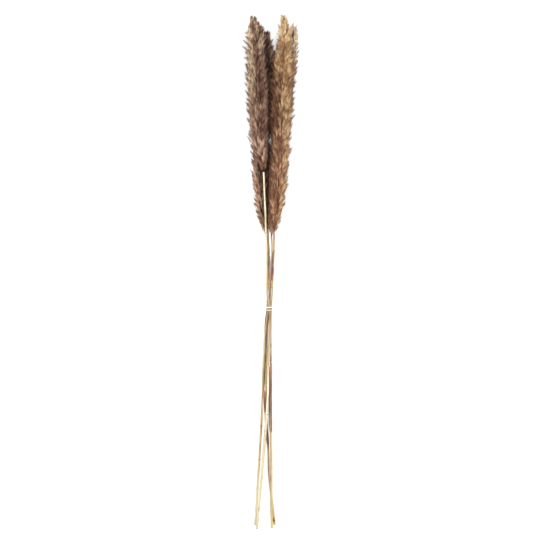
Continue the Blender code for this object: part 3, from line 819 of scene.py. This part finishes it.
def make_core(name):
    """The dense middle of a head, round the stem that runs up inside it, painted dark with the shade deep in
    the head.
    """
    track = TRACKS[name]
    dice = np.random.default_rng(SEEDS[name] + 50)
    y = np.arange(track.head_base - 1.0 * MM, track.tip - 16.0 * MM, 4.0 * MM)
    x, z = track.at(y)
    narrowed = 1.0 - 0.8 * ease(y, track.tip - 50.0 * MM, track.tip - 18.0 * MM)
    radii = np.maximum(track.reach(y) * CORE_SHARE * narrowed, 1.0 * MM)
    core = make_tube("core_" + name, y, x, z, radii, 3)
    points = points_of(core)
    centre_x, centre_z = track.at(points[:, 1])
    share = dice.uniform(0.85, 1.15, len(points))
    points[:, 0] = centre_x + (points[:, 0] - centre_x) * share
    points[:, 2] = centre_z + (points[:, 2] - centre_z) * share
    core.data.vertices.foreach_set("co", points.ravel())
    return core


def make_head(name, sprigs, finish, slot):
    """A head as two pieces: its inner sprigs round a core, and the outer sprigs that end its locks."""
    for piece_name, steps in (("inner_plume_", (1, 2, 3)), ("outer_plume_", (0, 4, 5))):
        points, faces, along, tints, depth = lay_sprigs(name, sprigs, steps)
        piece = make_mesh_piece(piece_name + name, points, faces)
        if 1 in steps:
            core = make_core(name)
            count = len(core.data.vertices)
            piece = join([piece, core], piece_name + name)
            dusky_dull = srgb(*PLUME_COLOURS[name][1][0])
            along = np.concatenate([along, np.zeros(count)])
            # The core's depth puts it wholly in the painted root shade.
            depth = np.concatenate([depth, np.full(count, 0.3)])
            tints = np.concatenate([tints, np.tile(dusky_dull, (count, 1))])
        add_values(piece, "along", along)
        add_values(piece, "depth", depth)
        add_colours(piece, tints)
        piece.data.materials.clear()
        piece.data.materials.append(finish)
        smooth(piece)
        ride(piece, "head_" + name, slot=slot)


# Stems, sheaths and tie


# The shades that straw and leaf dry to, and one of painted light. The first is paler than white paper:
# painted light, to make up for the shade that falls on straw between the plumes.
SHADES = {
    "painted light straw": (282, 272, 236),
    "ivory": (264, 258, 222),
    "cream": (252, 242, 206),
    "pale straw": (240, 228, 174),
    "straw": (228, 208, 152),
    "gold": (242, 218, 134),
    "grey green": (222, 222, 184),
    "olive": (204, 188, 142),
    "dull olive": (168, 150, 110),
    "honey": (208, 172, 112),
    "tan": (186, 144, 98),
    "sienna": (178, 112, 76),
    "umber": (126, 98, 66),
    "dark umber": (98, 72, 46),
    "chestnut": (100, 42, 24),
    "russet": (112, 22, 8),
    "rose": (202, 138, 112),
    "blush": (226, 204, 184),
    "mauve": (156, 118, 114),
    "plum": (112, 84, 80),
}

# How each stem looks from its foot up to its head: millimetres along, then its left and right shade or one
# for both. A side that lies against a neighbouring stem often has a dark shade, painted shade for the gap
# there.
STEM_SHADES = {
    "left": (
        (-552, "grey green"), (-531, "cream"), (-400, "pale straw", "cream"), (-331, "cream"),
        (-286, "painted light straw"), (-235, "cream", "painted light straw"), (-202, "pale straw", "straw"),
        (-163, "dull olive", "straw"), (-138, "cream", "tan"), (-116, "straw", "olive"),
        (-100, "chestnut", "tan"), (-90, "chestnut", "tan"), (-85, "tan", "straw"), (-64, "blush", "tan"),
        (-47, "honey", "blush"), (-30, "cream", "honey"), (-15, "ivory", "olive"), (40, "ivory", "olive"),
        (73, "ivory", "cream"), (118, "pale straw", "gold"), (130, "painted light straw", "cream"), (215, "painted light straw"),
    ),
    "middle": (
        (-545, "grey green", "cream"), (-520, "cream"), (-447, "straw", "cream"), (-404, "straw"),
        (-380, "honey", "olive"), (-361, "straw", "olive"), (-331, "honey", "tan"), (-314, "tan", "straw"),
        (-284, "tan", "painted light straw"), (-267, "tan", "honey"), (-228, "honey", "umber"),
        (-193, "straw", "dull olive"), (-163, "cream", "tan"), (-140, "cream", "umber"),
        (-112, "tan", "honey"), (-101, "dark umber", "straw"), (-87, "dark umber", "straw"),
        (-64, "straw", "umber"), (-40, "honey", "tan"), (44, "umber"), (79, "dark umber"),
    ),
    "right": (
        (-550, "gold"), (-490, "olive", "gold"), (-361, "honey", "gold"), (-346, "honey", "gold"),
        (-190, "mauve", "rose"), (-163, "olive", "blush"), (-138, "blush"), (-116, "honey", "blush"),
        (-97, "tan", "straw"), (-88, "olive"), (-64, "straw", "dull olive"), (-47, "cream", "dull olive"),
        (52, "honey", "olive"), (73, "tan"), (80, "tan", "sienna"),
    ),
    "back": (
        (-544, "grey green"), (-540, "olive", "honey"), (-537, "dark umber", "tan"),
        (-531, "dark umber", "honey"), (-527, "straw"), (-470, "straw"), (-447, "tan", "straw"),
        (-426, "umber", "straw"), (-404, "dull olive", "honey"), (-383, "straw", "tan"), (-374, "umber"),
        (-244, "pale straw", "olive"), (-206, "tan", "straw"), (-185, "dark umber", "straw"),
        (-163, "dark umber", "cream"), (-138, "umber", "tan"), (-116, "umber", "olive"), (-90, "tan"),
        (-64, "honey", "straw"), (-47, "umber", "dull olive"), (-30, "straw", "dark umber"),
        (-13, "honey", "olive"), (4, "blush", "dull olive"), (39, "grey green", "olive"),
        (56, "blush", "honey"), (77, "tan"),
    ),
}

# How each sheath looks: share of its length from its lower end, then its shades
SHEATH_SHADES = {
    "sheath_middle": (
        (0.0, "honey", "tan"), (0.12, "honey", "tan"), (0.31, "chestnut", "tan"),
        (0.53, "dark umber", "mauve"), (0.74, "dark umber", "umber"), (1.0, "umber", "dark umber"),
    ),
    "sheath_right_upper": (
        (0.0, "straw", "olive"), (0.14, "straw", "honey"), (0.2, "dark umber", "tan"),
        (0.28, "dark umber", "rose"), (0.34, "russet"), (0.46, "chestnut", "russet"),
        (0.56, "dark umber", "rose"), (0.68, "dark umber", "sienna"), (0.86, "umber", "sienna"),
        (0.94, "chestnut", "tan"), (1.0, "tan", "straw"),
    ),
    "sheath_right_lower": (
        (0.0, "tan", "mauve"), (0.1, "dull olive", "plum"), (0.3, "umber", "mauve"),
        (0.5, "dark umber", "mauve"), (0.68, "dark umber", "plum"), (0.84, "plum", "mauve"), (1.0, "rose"),
    ),
    "sheath_back": (
        (0.0, "umber"), (0.1, "dark umber", "chestnut"), (0.22, "umber", "dark umber"),
        (0.34, "olive", "dull olive"), (0.46, "straw"), (0.52, "straw"), (0.57, "chestnut", "dark umber"),
        (0.72, "dark umber"), (0.78, "umber", "dark umber"), (0.82, "sienna", "umber"), (0.89, "sienna"),
        (0.93, "straw", "olive"), (1.0, "straw", "olive"),
    ),
}


def stem_radii(name, y):
    """A stem narrows towards its head and under a sheath, and swells into a low ring at each joint."""
    track = TRACKS[name]
    share = np.clip((y - track.foot) / (track.head_base - track.foot), 0.0, 1.0)
    radii = STEM_RADIUS + (STEM_RADIUS_AT_HEAD - STEM_RADIUS) * share**2
    for plume, low, high, _, _ in SHEATHS.values():
        if plume == name:
            wrapped = ease(y, low - 4.0 * MM, low - 1.0 * MM) * fade(y, high + 1.0 * MM, high + 4.0 * MM)
            radii = radii * (1.0 - (1.0 - UNDER_SHEATH) * wrapped)
    if name in ("middle", "back"):
        radii = radii * (1.0 + 0.2 * ease(y, -262.0 * MM, -235.0 * MM) * fade(y, -108.0 * MM, -88.0 * MM))
    for joint in JOINTS[name]:
        radii = radii * (1.0 + (JOINT_SWELLING - 1.0) * peak(y, joint, 1.6 * MM))
        radii = radii * (1.0 - 0.07 * peak(y, joint - 3.0 * MM, 1.0 * MM))
    return radii


def make_stem(name, finish, pith):
    """A plume's bare stem, with its joints, its shades and a hollowed cut end."""
    track = TRACKS[name]
    top = track.head_base - 0.4 * MM
    even = np.arange(track.foot, top, STEM_STEP)
    near = [joint + step * JOINT_STEP for joint in (*JOINTS[name], TIE_Y) for step in range(-9, 9)]
    y = np.unique(np.concatenate([even, [track.foot + 0.3 * MM, top], near]))
    y = y[np.concatenate([[True], np.diff(y) > 0.25 * MM])]
    y = y[(y >= track.foot) & (y <= top)]
    x, z = track.at(y)
    radii = stem_radii(name, y)
    radii[0] *= 0.93
    stem = make_tube("straw_" + name, y, x, z, radii, 6)
    bpy.ops.object.mode_set(mode="EDIT")
    bpy.ops.mesh.select_all(action="DESELECT")
    shape = bmesh.from_edit_mesh(stem.data)
    for face in shape.faces:
        face.select = len(face.verts) > 4 and face.calc_center_median().y < track.foot + 1.0 * MM
    bmesh.update_edit_mesh(stem.data)
    bpy.ops.mesh.inset(thickness=RIM_WIDTH, depth=0.0)
    bpy.ops.mesh.inset(thickness=0.25 * MM, depth=-PITH_DEPTH)
    bpy.ops.object.mode_set(mode="OBJECT")
    stem.data.materials.append(finish)
    stem.data.materials.append(pith)
    for face in stem.data.polygons:
        face.use_smooth = True
        if face.normal.y < -0.8 and face.center.y < track.foot + 1.5 * MM:
            face.material_index = 1
    points = points_of(stem)
    y = points[:, 1]
    across = (points[:, 0] - track.at(y)[0]) / STEM_RADIUS
    colours = colours_along(y, across, STEM_SHADES[name])
    for joint in JOINTS[name]:
        colours = mixed(colours, lit(*SHADES["umber"]), 0.7 * peak(y, joint - 0.4 * MM, 0.9 * MM))
    # Painted shade: each stem's flanks are darkened a little all along, and most where the stems crowd
    # together, for the shade that falls between them.
    crowded_shade = ease(y, -330.0 * MM, -220.0 * MM) * fade(y, 60.0 * MM, 90.0 * MM)
    colours = mixed(colours, colours * 0.6, ease(np.abs(across), 0.7, 1.0) * (0.2 + 0.6 * crowded_shade))
    # Painted shadow: a dark plum band round each stem in the gap between the tie's two turns.
    colours = mixed(colours, lit(*SHADES["plum"]), 0.9 * peak(y, TIE_Y, 1.4 * MM))
    colours = mixed(colours, lit(*SHADES["sienna"]), 0.6 * peak(y, TIE_Y - 5.0 * MM, 0.9 * MM))
    colours[:, 3] = 1.0
    add_colours(stem, colours)
    return ride(stem, "stem_" + name, slot="straw")


def new_leaf(name, columns, rows):
    """A flat grid to shape into a leaf, with its points' places across it and along it."""
    deselect_all()
    bpy.ops.mesh.primitive_grid_add(x_subdivisions=columns, y_subdivisions=rows, size=1.0)
    leaf = bpy.context.object
    leaf.name = name
    leaf.data.name = name
    points = points_of(leaf)
    return leaf, points[:, 0], points[:, 1] + 0.5


def finish_leaf(leaf, finish):
    """Gives a shaped leaf its thickness and its material, and returns its points."""
    wall = leaf.modifiers.new("Wall", "SOLIDIFY")
    wall.thickness = SHEATH_THICKNESS
    wall.offset = -1.0
    apply_modifiers(leaf)
    smooth(leaf)
    leaf.data.materials.append(finish)
    return points_of(leaf)


def make_sheath(name, finish):
    """A papery leaf base rolled round a stem, slit along one side, its upper end drawn into a loose point."""
    plume_name, low, high, slit, lip = SHEATHS[name]
    track = TRACKS[plume_name]
    length = high - low
    sheath, around, along = new_leaf("leaf_" + name, SHEATH_COLUMNS, int(length / SHEATH_STEP))
    top = high - SHEATH_SLANT * (np.abs(around) * 2) ** 1.3
    bottom = low + 0.6 * MM * np.sin(around * 17.0)
    y = bottom + along * (top - bottom)
    swell = np.sin(along * 9.0 + around * 3.0) * 0.06 + np.sin(along * 23.0 - around * 5.0) * 0.03
    angle = slit + math.pi + around * SHEATH_WRAP + 0.08 * np.sin(along * 5.0)
    lifted = ease(np.abs(around), 0.42, 0.5) * 0.25 * MM + ease(along, 0.93, 1.0) * 0.25 * MM
    loose_side = -around if math.cos(slit) > 0 else around
    lifted += lip * ease(loose_side, 0.22, 0.5) * ease(along, 0.0, 0.12) * fade(along, 0.85, 1.0)
    stem_here = stem_radii(plume_name, np.full(1, (low + high) / 2))[0]
    radius = stem_here + SHEATH_GAP + SHEATH_THICKNESS + lifted + swell * MM * 1.2
    sheath.data.vertices.foreach_set("co", track.around(y, angle, radius).ravel())
    select_only(sheath)
    bpy.ops.object.mode_set(mode="EDIT")
    bpy.ops.mesh.select_all(action="SELECT")
    bpy.ops.mesh.normals_make_consistent(inside=False)
    bpy.ops.object.mode_set(mode="OBJECT")
    face = sheath.data.polygons[len(sheath.data.polygons) // 2 + SHEATH_COLUMNS // 2]
    centre_x, centre_z = track.at(face.center.y)
    if face.normal.x * (face.center.x - centre_x) + face.normal.z * (face.center.z - centre_z) < 0:
        sheath.data.flip_normals()
    points = finish_leaf(sheath, finish)
    x, y, z = points.T
    centre_x, centre_z = track.at(y)
    add_values(sheath, "share", (y - low) / length)
    add_values(sheath, "turn", np.arctan2(z - centre_z, x - centre_x))
    stops = [((low + place * length) / MM, *shades) for place, *shades in SHEATH_SHADES[name]]
    across = (x - centre_x) / STEM_RADIUS
    colours = colours_along(y, across, stops)
    if name == "sheath_middle":
        colours = mixed(colours, lit(*SHADES["blush"]), ease(across, 0.85, 1.15) * 0.85)
    add_colours(sheath, colours)
    return ride(sheath, name, slot="dry_sheath")


def make_leaf_tip(finish):
    """The free end of the middle stem's leaf, a narrow folded blade that stands on from its sheath."""
    line_x, line_y, line_z = millimetres(LEAF_TIP).T
    low, high = line_y[0], line_y[-1]
    blade, across, along = new_leaf("leaf_tip_middle", 6, 24)
    across = across * 2
    y = low + (high - low) * along
    half = LEAF_TIP_WIDTH / 2 * (1.0 - 0.35 * along) * ease(1.0 - along, 0.0, 0.25) ** 0.5
    x = np.interp(y, line_y, line_x) + across * half
    z = np.interp(y, line_y, line_z) + 0.9 * MM * (1.0 - np.abs(across) ** 1.5)
    placed = np.stack([x, y, z + 0.2 * MM * np.sin(along * 11.0)], 1)
    blade.data.vertices.foreach_set("co", placed.ravel())
    x, y, _ = finish_leaf(blade, finish).T
    add_values(blade, "share", (y - low) / (high - low))
    add_values(blade, "turn", x / STEM_RADIUS)
    stops = [(low / MM, "umber", "dull olive"), (high / MM, "umber", "dark umber")]
    across = (x - np.interp(y, line_y, line_x)) / (LEAF_TIP_WIDTH / 2)
    add_colours(blade, colours_along(y, across, stops))
    return ride(blade, "sheath_middle", slot="dry_sheath")


def wrap_line(y, gap, steps=240):
    """A taut closed line round the four stems at a place along them, as evenly spaced points (x, z)."""
    centres = np.array([track.at(y) for track in TRACKS.values()])
    radii = np.array([stem_radii(name, np.full(1, y))[0] for name in TRACKS])
    angles = np.linspace(0.0, 2 * math.pi, 720, endpoint=False)
    out = np.stack([np.cos(angles), np.sin(angles)], 1)
    furthest = np.argmax(out @ centres.T + radii, axis=1)
    line = centres[furthest] + (radii[furthest] + gap)[:, None] * out
    closed = np.concatenate([line, line[:1]])
    lengths = np.concatenate([[0.0], np.cumsum(np.linalg.norm(np.diff(closed, axis=0), axis=1))])
    even = np.linspace(0.0, lengths[-1], steps, endpoint=False)
    return np.stack([np.interp(even, lengths, closed[:, axis]) for axis in (0, 1)], 1)


def make_band(name, y, width, lean, slack):
    """One taut turn of a flat tie, ribbed by the cords that it is woven of and never quite level."""
    line = wrap_line(y, TIE_GAP + TIE_THICKNESS / 2)
    profile = []
    for step in range(TIE_PROFILE_STEPS):
        angle = 2 * math.pi * step / TIE_PROFILE_STEPS
        share = math.copysign(abs(math.cos(angle)) ** 0.6, math.cos(angle))
        ribbed = 0.72 + 0.28 * abs(math.sin(TIE_CORDS * math.pi * (share + 1.0) / 2))
        thick = math.copysign(abs(math.sin(angle)) ** 0.7, math.sin(angle)) * TIE_THICKNESS / 2 * ribbed
        profile.append((share * width / 2, thick, 0.0))
    shape, _, outline = new_curve(name + "_profile", profile, dimensions="2D")
    outline.use_cyclic_u = True
    turn = 2 * math.pi * np.arange(len(line)) / len(line)
    wavy = y + lean * np.cos(turn) + slack * np.sin(2 * turn + y * 900)
    band, path, spline = new_curve(name, np.stack([line[:, 0], wavy, line[:, 1]], 1))
    path.bevel_mode = "OBJECT"
    path.bevel_object = shape
    spline.use_cyclic_u = True
    band = as_mesh(band)
    bpy.data.objects.remove(shape)
    return band


def make_knot(y, x, z):
    """The crossed turns of the knot and its two short cut ends, on the underside of the stems."""
    pieces = []
    for part, route in KNOT.items():
        cord, curve, spline = new_curve("knot_" + part, millimetres(route) + (x, y, z), kind="NURBS")
        curve.bevel_depth = KNOT_CORD_RADIUS
        curve.bevel_resolution = 4
        curve.use_fill_caps = True
        curve.resolution_u = 8
        spline.use_endpoint_u = True
        spline.order_u = 4
        pieces.append(as_mesh(cord))
    return join(pieces, "tie_knot")


def make_tie(finish):
    """The two turns and the knot, each with its own white."""
    upper = make_band("tie_upper_turn", TIE_Y + WRAP_SPACING / 2, UPPER_WRAP_WIDTH, 0.12 * MM, 0.05 * MM)
    lower = make_band("tie_lower_turn", TIE_Y - WRAP_SPACING / 2, LOWER_WRAP_WIDTH, -0.1 * MM, 0.04 * MM)
    line = wrap_line(TIE_Y, TIE_GAP)
    x, z = line[np.argmin(line[:, 1])]
    knot = make_knot(TIE_Y, x, z - 0.75 * MM)
    colours = (srgb(255, 255, 253), lit(240, 230, 208), srgb(240, 236, 226))
    for band, colour in zip((upper, lower, knot), colours):
        band.data.materials.append(finish)
        points = points_of(band)
        centre = points.mean(axis=0)
        add_values(band, "turn", np.arctan2(points[:, 2] - centre[2], points[:, 0] - centre[0]))
        add_colours(band, np.tile(colour, (len(points), 1)))
        smooth(band)
        ride(band, "tie", slot="white_cord")


# Materials


class Nodes:
    """Adds nodes to a tree. A value given to them is a number, a colour or another node's output."""

    def __init__(self, tree):
        self.tree = tree

    def put(self, value, socket):
        if isinstance(value, (float, tuple)):
            socket.default_value = value
        else:
            self.tree.links.new(value, socket)

    def add(self, kind, values, **settings):
        made = self.tree.nodes.new("ShaderNode" + kind)
        for name, setting in settings.items():
            setattr(made, name, setting)
        for label, value in values.items():
            self.put(value, made.inputs[label])
        return made

    def attribute(self, name, output="Fac"):
        return self.add("Attribute", {}, attribute_name=name).outputs[output]

    def place(self, scale):
        """Object coordinates, scaled differently along each axis."""
        place = self.add("TexCoord", {}).outputs["Object"]
        return self.add("Mapping", {"Vector": place, "Scale": scale}).outputs["Vector"]

    def noise(self, stretch, scale, detail=2.0, roughness=0.5):
        values = {"Vector": self.place(stretch), "Scale": scale, "Detail": detail, "Roughness": roughness}
        return self.add("TexNoise", values).outputs["Fac"]

    def waves(self, direction, x, y, scale, distortion):
        """Even bands with a slight wobble over a plane of two values."""
        plane = self.add("CombineXYZ", {0: x, 1: y}).outputs[0]
        values = {"Vector": plane, "Scale": scale, "Distortion": distortion, "Detail": 2.0}
        return self.add("TexWave", values, wave_type="BANDS", bands_direction=direction).outputs["Fac"]

    def remap(self, value, low, high, to_low=0.0, to_high=1.0):
        values = {"Value": value, "From Min": low, "From Max": high, "To Min": to_low, "To Max": to_high}
        return self.add("MapRange", values).outputs["Result"]

    def blend(self, share, first, second, kind="MIX"):
        values = {0: share, 6: first, 7: second}
        return self.add("Mix", values, data_type="RGBA", blend_type=kind).outputs[2]

    def darkened(self, colour, pattern, low, high, most, shade):
        """A colour multiplied by a shade where a pattern runs from one value to another."""
        return self.blend(self.remap(pattern, low, high, 0.0, most), colour, srgb(*shade), "MULTIPLY")

    def calculate(self, operation, first, second):
        return self.add("Math", {0: first, 1: second}, operation=operation).outputs[0]


def make_plume_shade():
    """Colour and roughness of plume hair: painted shade deep in the head, uneven in tone, dusky towards its
    ends.
    """
    group = bpy.data.node_groups.new("plume_shade", "ShaderNodeTree")
    for label in ("Root shade", "End"):
        made = group.interface.new_socket(name=label, in_out="INPUT", socket_type="NodeSocketColor")
        made.default_value = (0.5, 0.5, 0.5, 1.0)
    for label, kind in (("Colour", "Color"), ("Roughness", "Float"), ("Height", "Float")):
        group.interface.new_socket(name=label, in_out="OUTPUT", socket_type="NodeSocket" + kind)
    given, result = group.nodes.new("NodeGroupInput"), group.nodes.new("NodeGroupOutput")
    nodes = Nodes(group)
    patches = nodes.noise((1.0, 0.5, 1.0), 60.0, 3.0, 0.6)
    streaks = nodes.noise((1.0, 0.25, 1.0), 420.0)
    patchy, streaky = nodes.remap(patches, 0.3, 0.7, 0.8, 1.2), nodes.remap(streaks, 0.3, 0.7, -0.12, 0.12)
    uneven = nodes.calculate("ADD", patchy, streaky)
    values = {0: nodes.attribute("tint", "Color"), "Scale": uneven}
    tint = nodes.add("VectorMath", values, operation="SCALE").outputs[0]
    # Painted shade: deep in the head the hair's colour gives way to the root shade.
    shaded_in_depth = nodes.blend(nodes.remap(nodes.attribute("depth"), 0.36, 0.8), given.outputs["Root shade"], tint)
    towards_end = nodes.remap(nodes.attribute("along"), 0.58, 0.88, 0.0, 0.85)
    nodes.put(nodes.blend(towards_end, shaded_in_depth, given.outputs["End"]), result.inputs["Colour"])
    nodes.put(nodes.remap(patches, 0.3, 0.7, 0.85, 0.65), result.inputs["Roughness"])
    nodes.put(streaks, result.inputs["Height"])
    return group


def new_material(name, **values):
    """A new material, its nodes, and its shader with some of its values set."""
    made = bpy.data.materials.new(name)
    made.use_nodes = True
    shader = made.node_tree.nodes["Principled BSDF"]
    for label, value in values.items():
        shader.inputs[label.replace("_", " ")].default_value = value
    return made, Nodes(made.node_tree), shader


def dress(nodes, shader, colour, roughness, height, strength, distance):
    """Leads a colour, a roughness and the height of a bump into a material's shader."""
    nodes.put(colour, shader.inputs["Base Color"])
    nodes.put(roughness, shader.inputs["Roughness"])
    bump = nodes.add("Bump", {"Strength": strength, "Distance": distance, "Height": height})
    nodes.put(bump.outputs["Normal"], shader.inputs["Normal"])


def plume_material(name, group, root, end):
    """Plume hair with a faint sheen, painted shade at its roots and dusky at its ends."""
    made, nodes, shader = new_material(name, Sheen_Weight=0.06, Sheen_Roughness=0.4, Specular_IOR_Level=0.15)
    shade = nodes.add("Group", {"Root shade": srgb(*root), "End": srgb(*end)}, node_tree=group).outputs
    dress(nodes, shader, shade["Colour"], shade["Roughness"], shade["Height"], 0.5, 0.25 * MM)
    return made


def straw_material():
    """Dried straw: fine lengthwise grooves and fibres, brown flecks and a slight gloss."""
    made, nodes, shader = new_material("straw")
    fibres = nodes.noise((1.0, 0.012, 1.0), 2600.0, 3.0, 0.7)
    grooves = nodes.noise((1.0, 0.004, 1.0), 1500.0, 1.0)
    blotches = nodes.noise((1.0, 0.16, 1.0), 260.0, 3.0, 0.6)
    colour = nodes.darkened(nodes.attribute("tint", "Color"), fibres, 0.42, 0.66, 0.5, (170, 126, 84))
    colour = nodes.darkened(colour, grooves, 0.56, 0.62, 0.4, (140, 100, 66))
    colour = nodes.darkened(colour, blotches, 0.6, 0.7, 0.6, (140, 104, 70))
    relief = nodes.calculate("SUBTRACT", fibres, nodes.remap(grooves, 0.54, 0.64, 0.0, 0.6))
    dress(nodes, shader, colour, nodes.remap(fibres, 0.3, 0.7, 0.4, 0.62), relief, 0.5, 0.25 * MM)
    return made


def pith_material():
    """The pale spongy pith at a cut end, ringed by the straw's darker rim."""
    made, nodes, shader = new_material("pith")
    pores = nodes.noise((1.0, 1.0, 1.0), 2400.0, 3.0)
    colour = nodes.blend(pores, srgb(214, 196, 150), srgb(150, 118, 78))
    dress(nodes, shader, colour, 0.9, pores, 0.5, 0.2 * MM)
    return made


def sheath_material():
    """Dry papery leaf: parallel veins, mottled brown, dull with a faint gloss on the ribs."""
    made, nodes, shader = new_material("dry_sheath")
    veins = nodes.waves("X", nodes.attribute("turn"), nodes.attribute("share"), 5.0, 1.2)
    mottle = nodes.noise((1.0, 0.2, 1.0), 320.0, 3.0, 0.6)
    veined = nodes.remap(veins, 0.2, 0.9, 0.0, 0.25)
    colour = nodes.blend(veined, nodes.attribute("tint", "Color"), srgb(190, 150, 120))
    colour = nodes.darkened(colour, mottle, 0.5, 0.72, 0.7, (120, 84, 70))
    dress(nodes, shader, colour, nodes.remap(mottle, 0.3, 0.7, 0.5, 0.78), veins, 0.4, 0.15 * MM)
    return made


def tie_material():
    """White cotton: fine slanting twists across the cords, a little darker in the hollows."""
    made, nodes, shader = new_material("white_cord")
    place = nodes.add("SeparateXYZ", {0: nodes.place((1.0, 200.0, 1.0))})
    round_it = nodes.calculate("MULTIPLY", nodes.attribute("turn"), 1.6)
    twists = nodes.waves("DIAGONAL", round_it, place.outputs[1], 3.0, 1.0)
    dirt = nodes.noise((1.0, 1.0, 1.0), 420.0, 3.0)
    colour = nodes.darkened(nodes.attribute("tint", "Color"), twists, 0.5, 0.0, 0.22, (206, 196, 178))
    colour = nodes.darkened(colour, dirt, 0.55, 0.8, 0.25, (206, 186, 150))
    dress(nodes, shader, colour, nodes.remap(dirt, 0.3, 0.7, 0.7, 0.9), twists, 0.5, 0.2 * MM)
    return made


# Surface, light and camera


def make_studio():
    """A pale floor, an even white sky and three soft lamps."""
    deselect_all()
    bpy.ops.mesh.primitive_plane_add(size=8.0, location=(0.0, 0.0, 0.0))
    floor = bpy.context.object
    floor.name = "floor"
    made, nodes, shader = new_material("pale_floor", Roughness=0.9, Specular_IOR_Level=0.1)
    grain = nodes.noise((1.0, 1.0, 1.0), 30.0)
    nodes.put(nodes.blend(grain, srgb(250, 250, 249), srgb(253, 253, 252)), shader.inputs["Base Color"])
    floor.data.materials.append(made)
    world = bpy.data.worlds.new("studio")
    world.use_nodes = True
    world.node_tree.nodes["Background"].inputs["Color"].default_value = (1.0, 1.0, 1.0, 1.0)
    world.node_tree.nodes["Background"].inputs["Strength"].default_value = SKY_STRENGTH
    bpy.context.scene.world = world
    for name, (place, turn, size, power) in LAMPS.items():
        lamp = bpy.data.lights.new(name, "AREA")
        lamp.shape = "SQUARE"
        lamp.size = size
        lamp.energy = power
        holder = bpy.data.objects.new(name, lamp)
        holder.location = place
        holder.rotation_euler.y = math.radians(turn)
        bpy.context.collection.objects.link(holder)
    bpy.context.scene.view_settings.view_transform = "Standard"


def make_camera():
    """Looks straight down on the bundle, with the tips at the top of the picture."""
    lens = bpy.data.cameras.new("camera")
    lens.sensor_width = SENSOR_MM
    lens.lens = SENSOR_MM * (CAMERA_HEIGHT - FRAME_HEIGHT) / FRAME_SIZE
    lens.clip_start = 1.0
    lens.clip_end = 40.0
    camera = bpy.data.objects.new("camera", lens)
    camera.location = (*CAMERA_PLACE, CAMERA_HEIGHT)
    bpy.context.collection.objects.link(camera)
    bpy.context.scene.camera = camera


def main():
    """Makes every piece and the studio round them."""
    make_camera()
    make_studio()
    sprigs = make_sprigs()
    shade = make_plume_shade()
    # Each plume's first colour is the painted shade at its roots, deep in the head; the second is its sprigs'
    # dark ends.
    plumes = (
        ("left", "plume_mauve", plume_material("mauve_plume", shade, (60, 36, 28), (84, 56, 46))),
        ("middle", "plume_brown", plume_material("brown_plume", shade, (32, 20, 14), (60, 38, 26))),
        ("right", "plume_gold", plume_material("golden_plume", shade, (112, 72, 44), (122, 80, 54))),
        ("back", "plume_mauve", plume_material("rosy_plume", shade, (70, 42, 32), (88, 60, 46))),
    )
    for name, slot, finish in plumes:
        make_head(name, sprigs, finish, slot)
    straw, pith, papery = straw_material(), pith_material(), sheath_material()
    for name in ROUTES:
        make_stem(name, straw, pith)
    for name in SHEATHS:
        make_sheath(name, papery)
    make_leaf_tip(papery)
    make_tie(tie_material())


main()
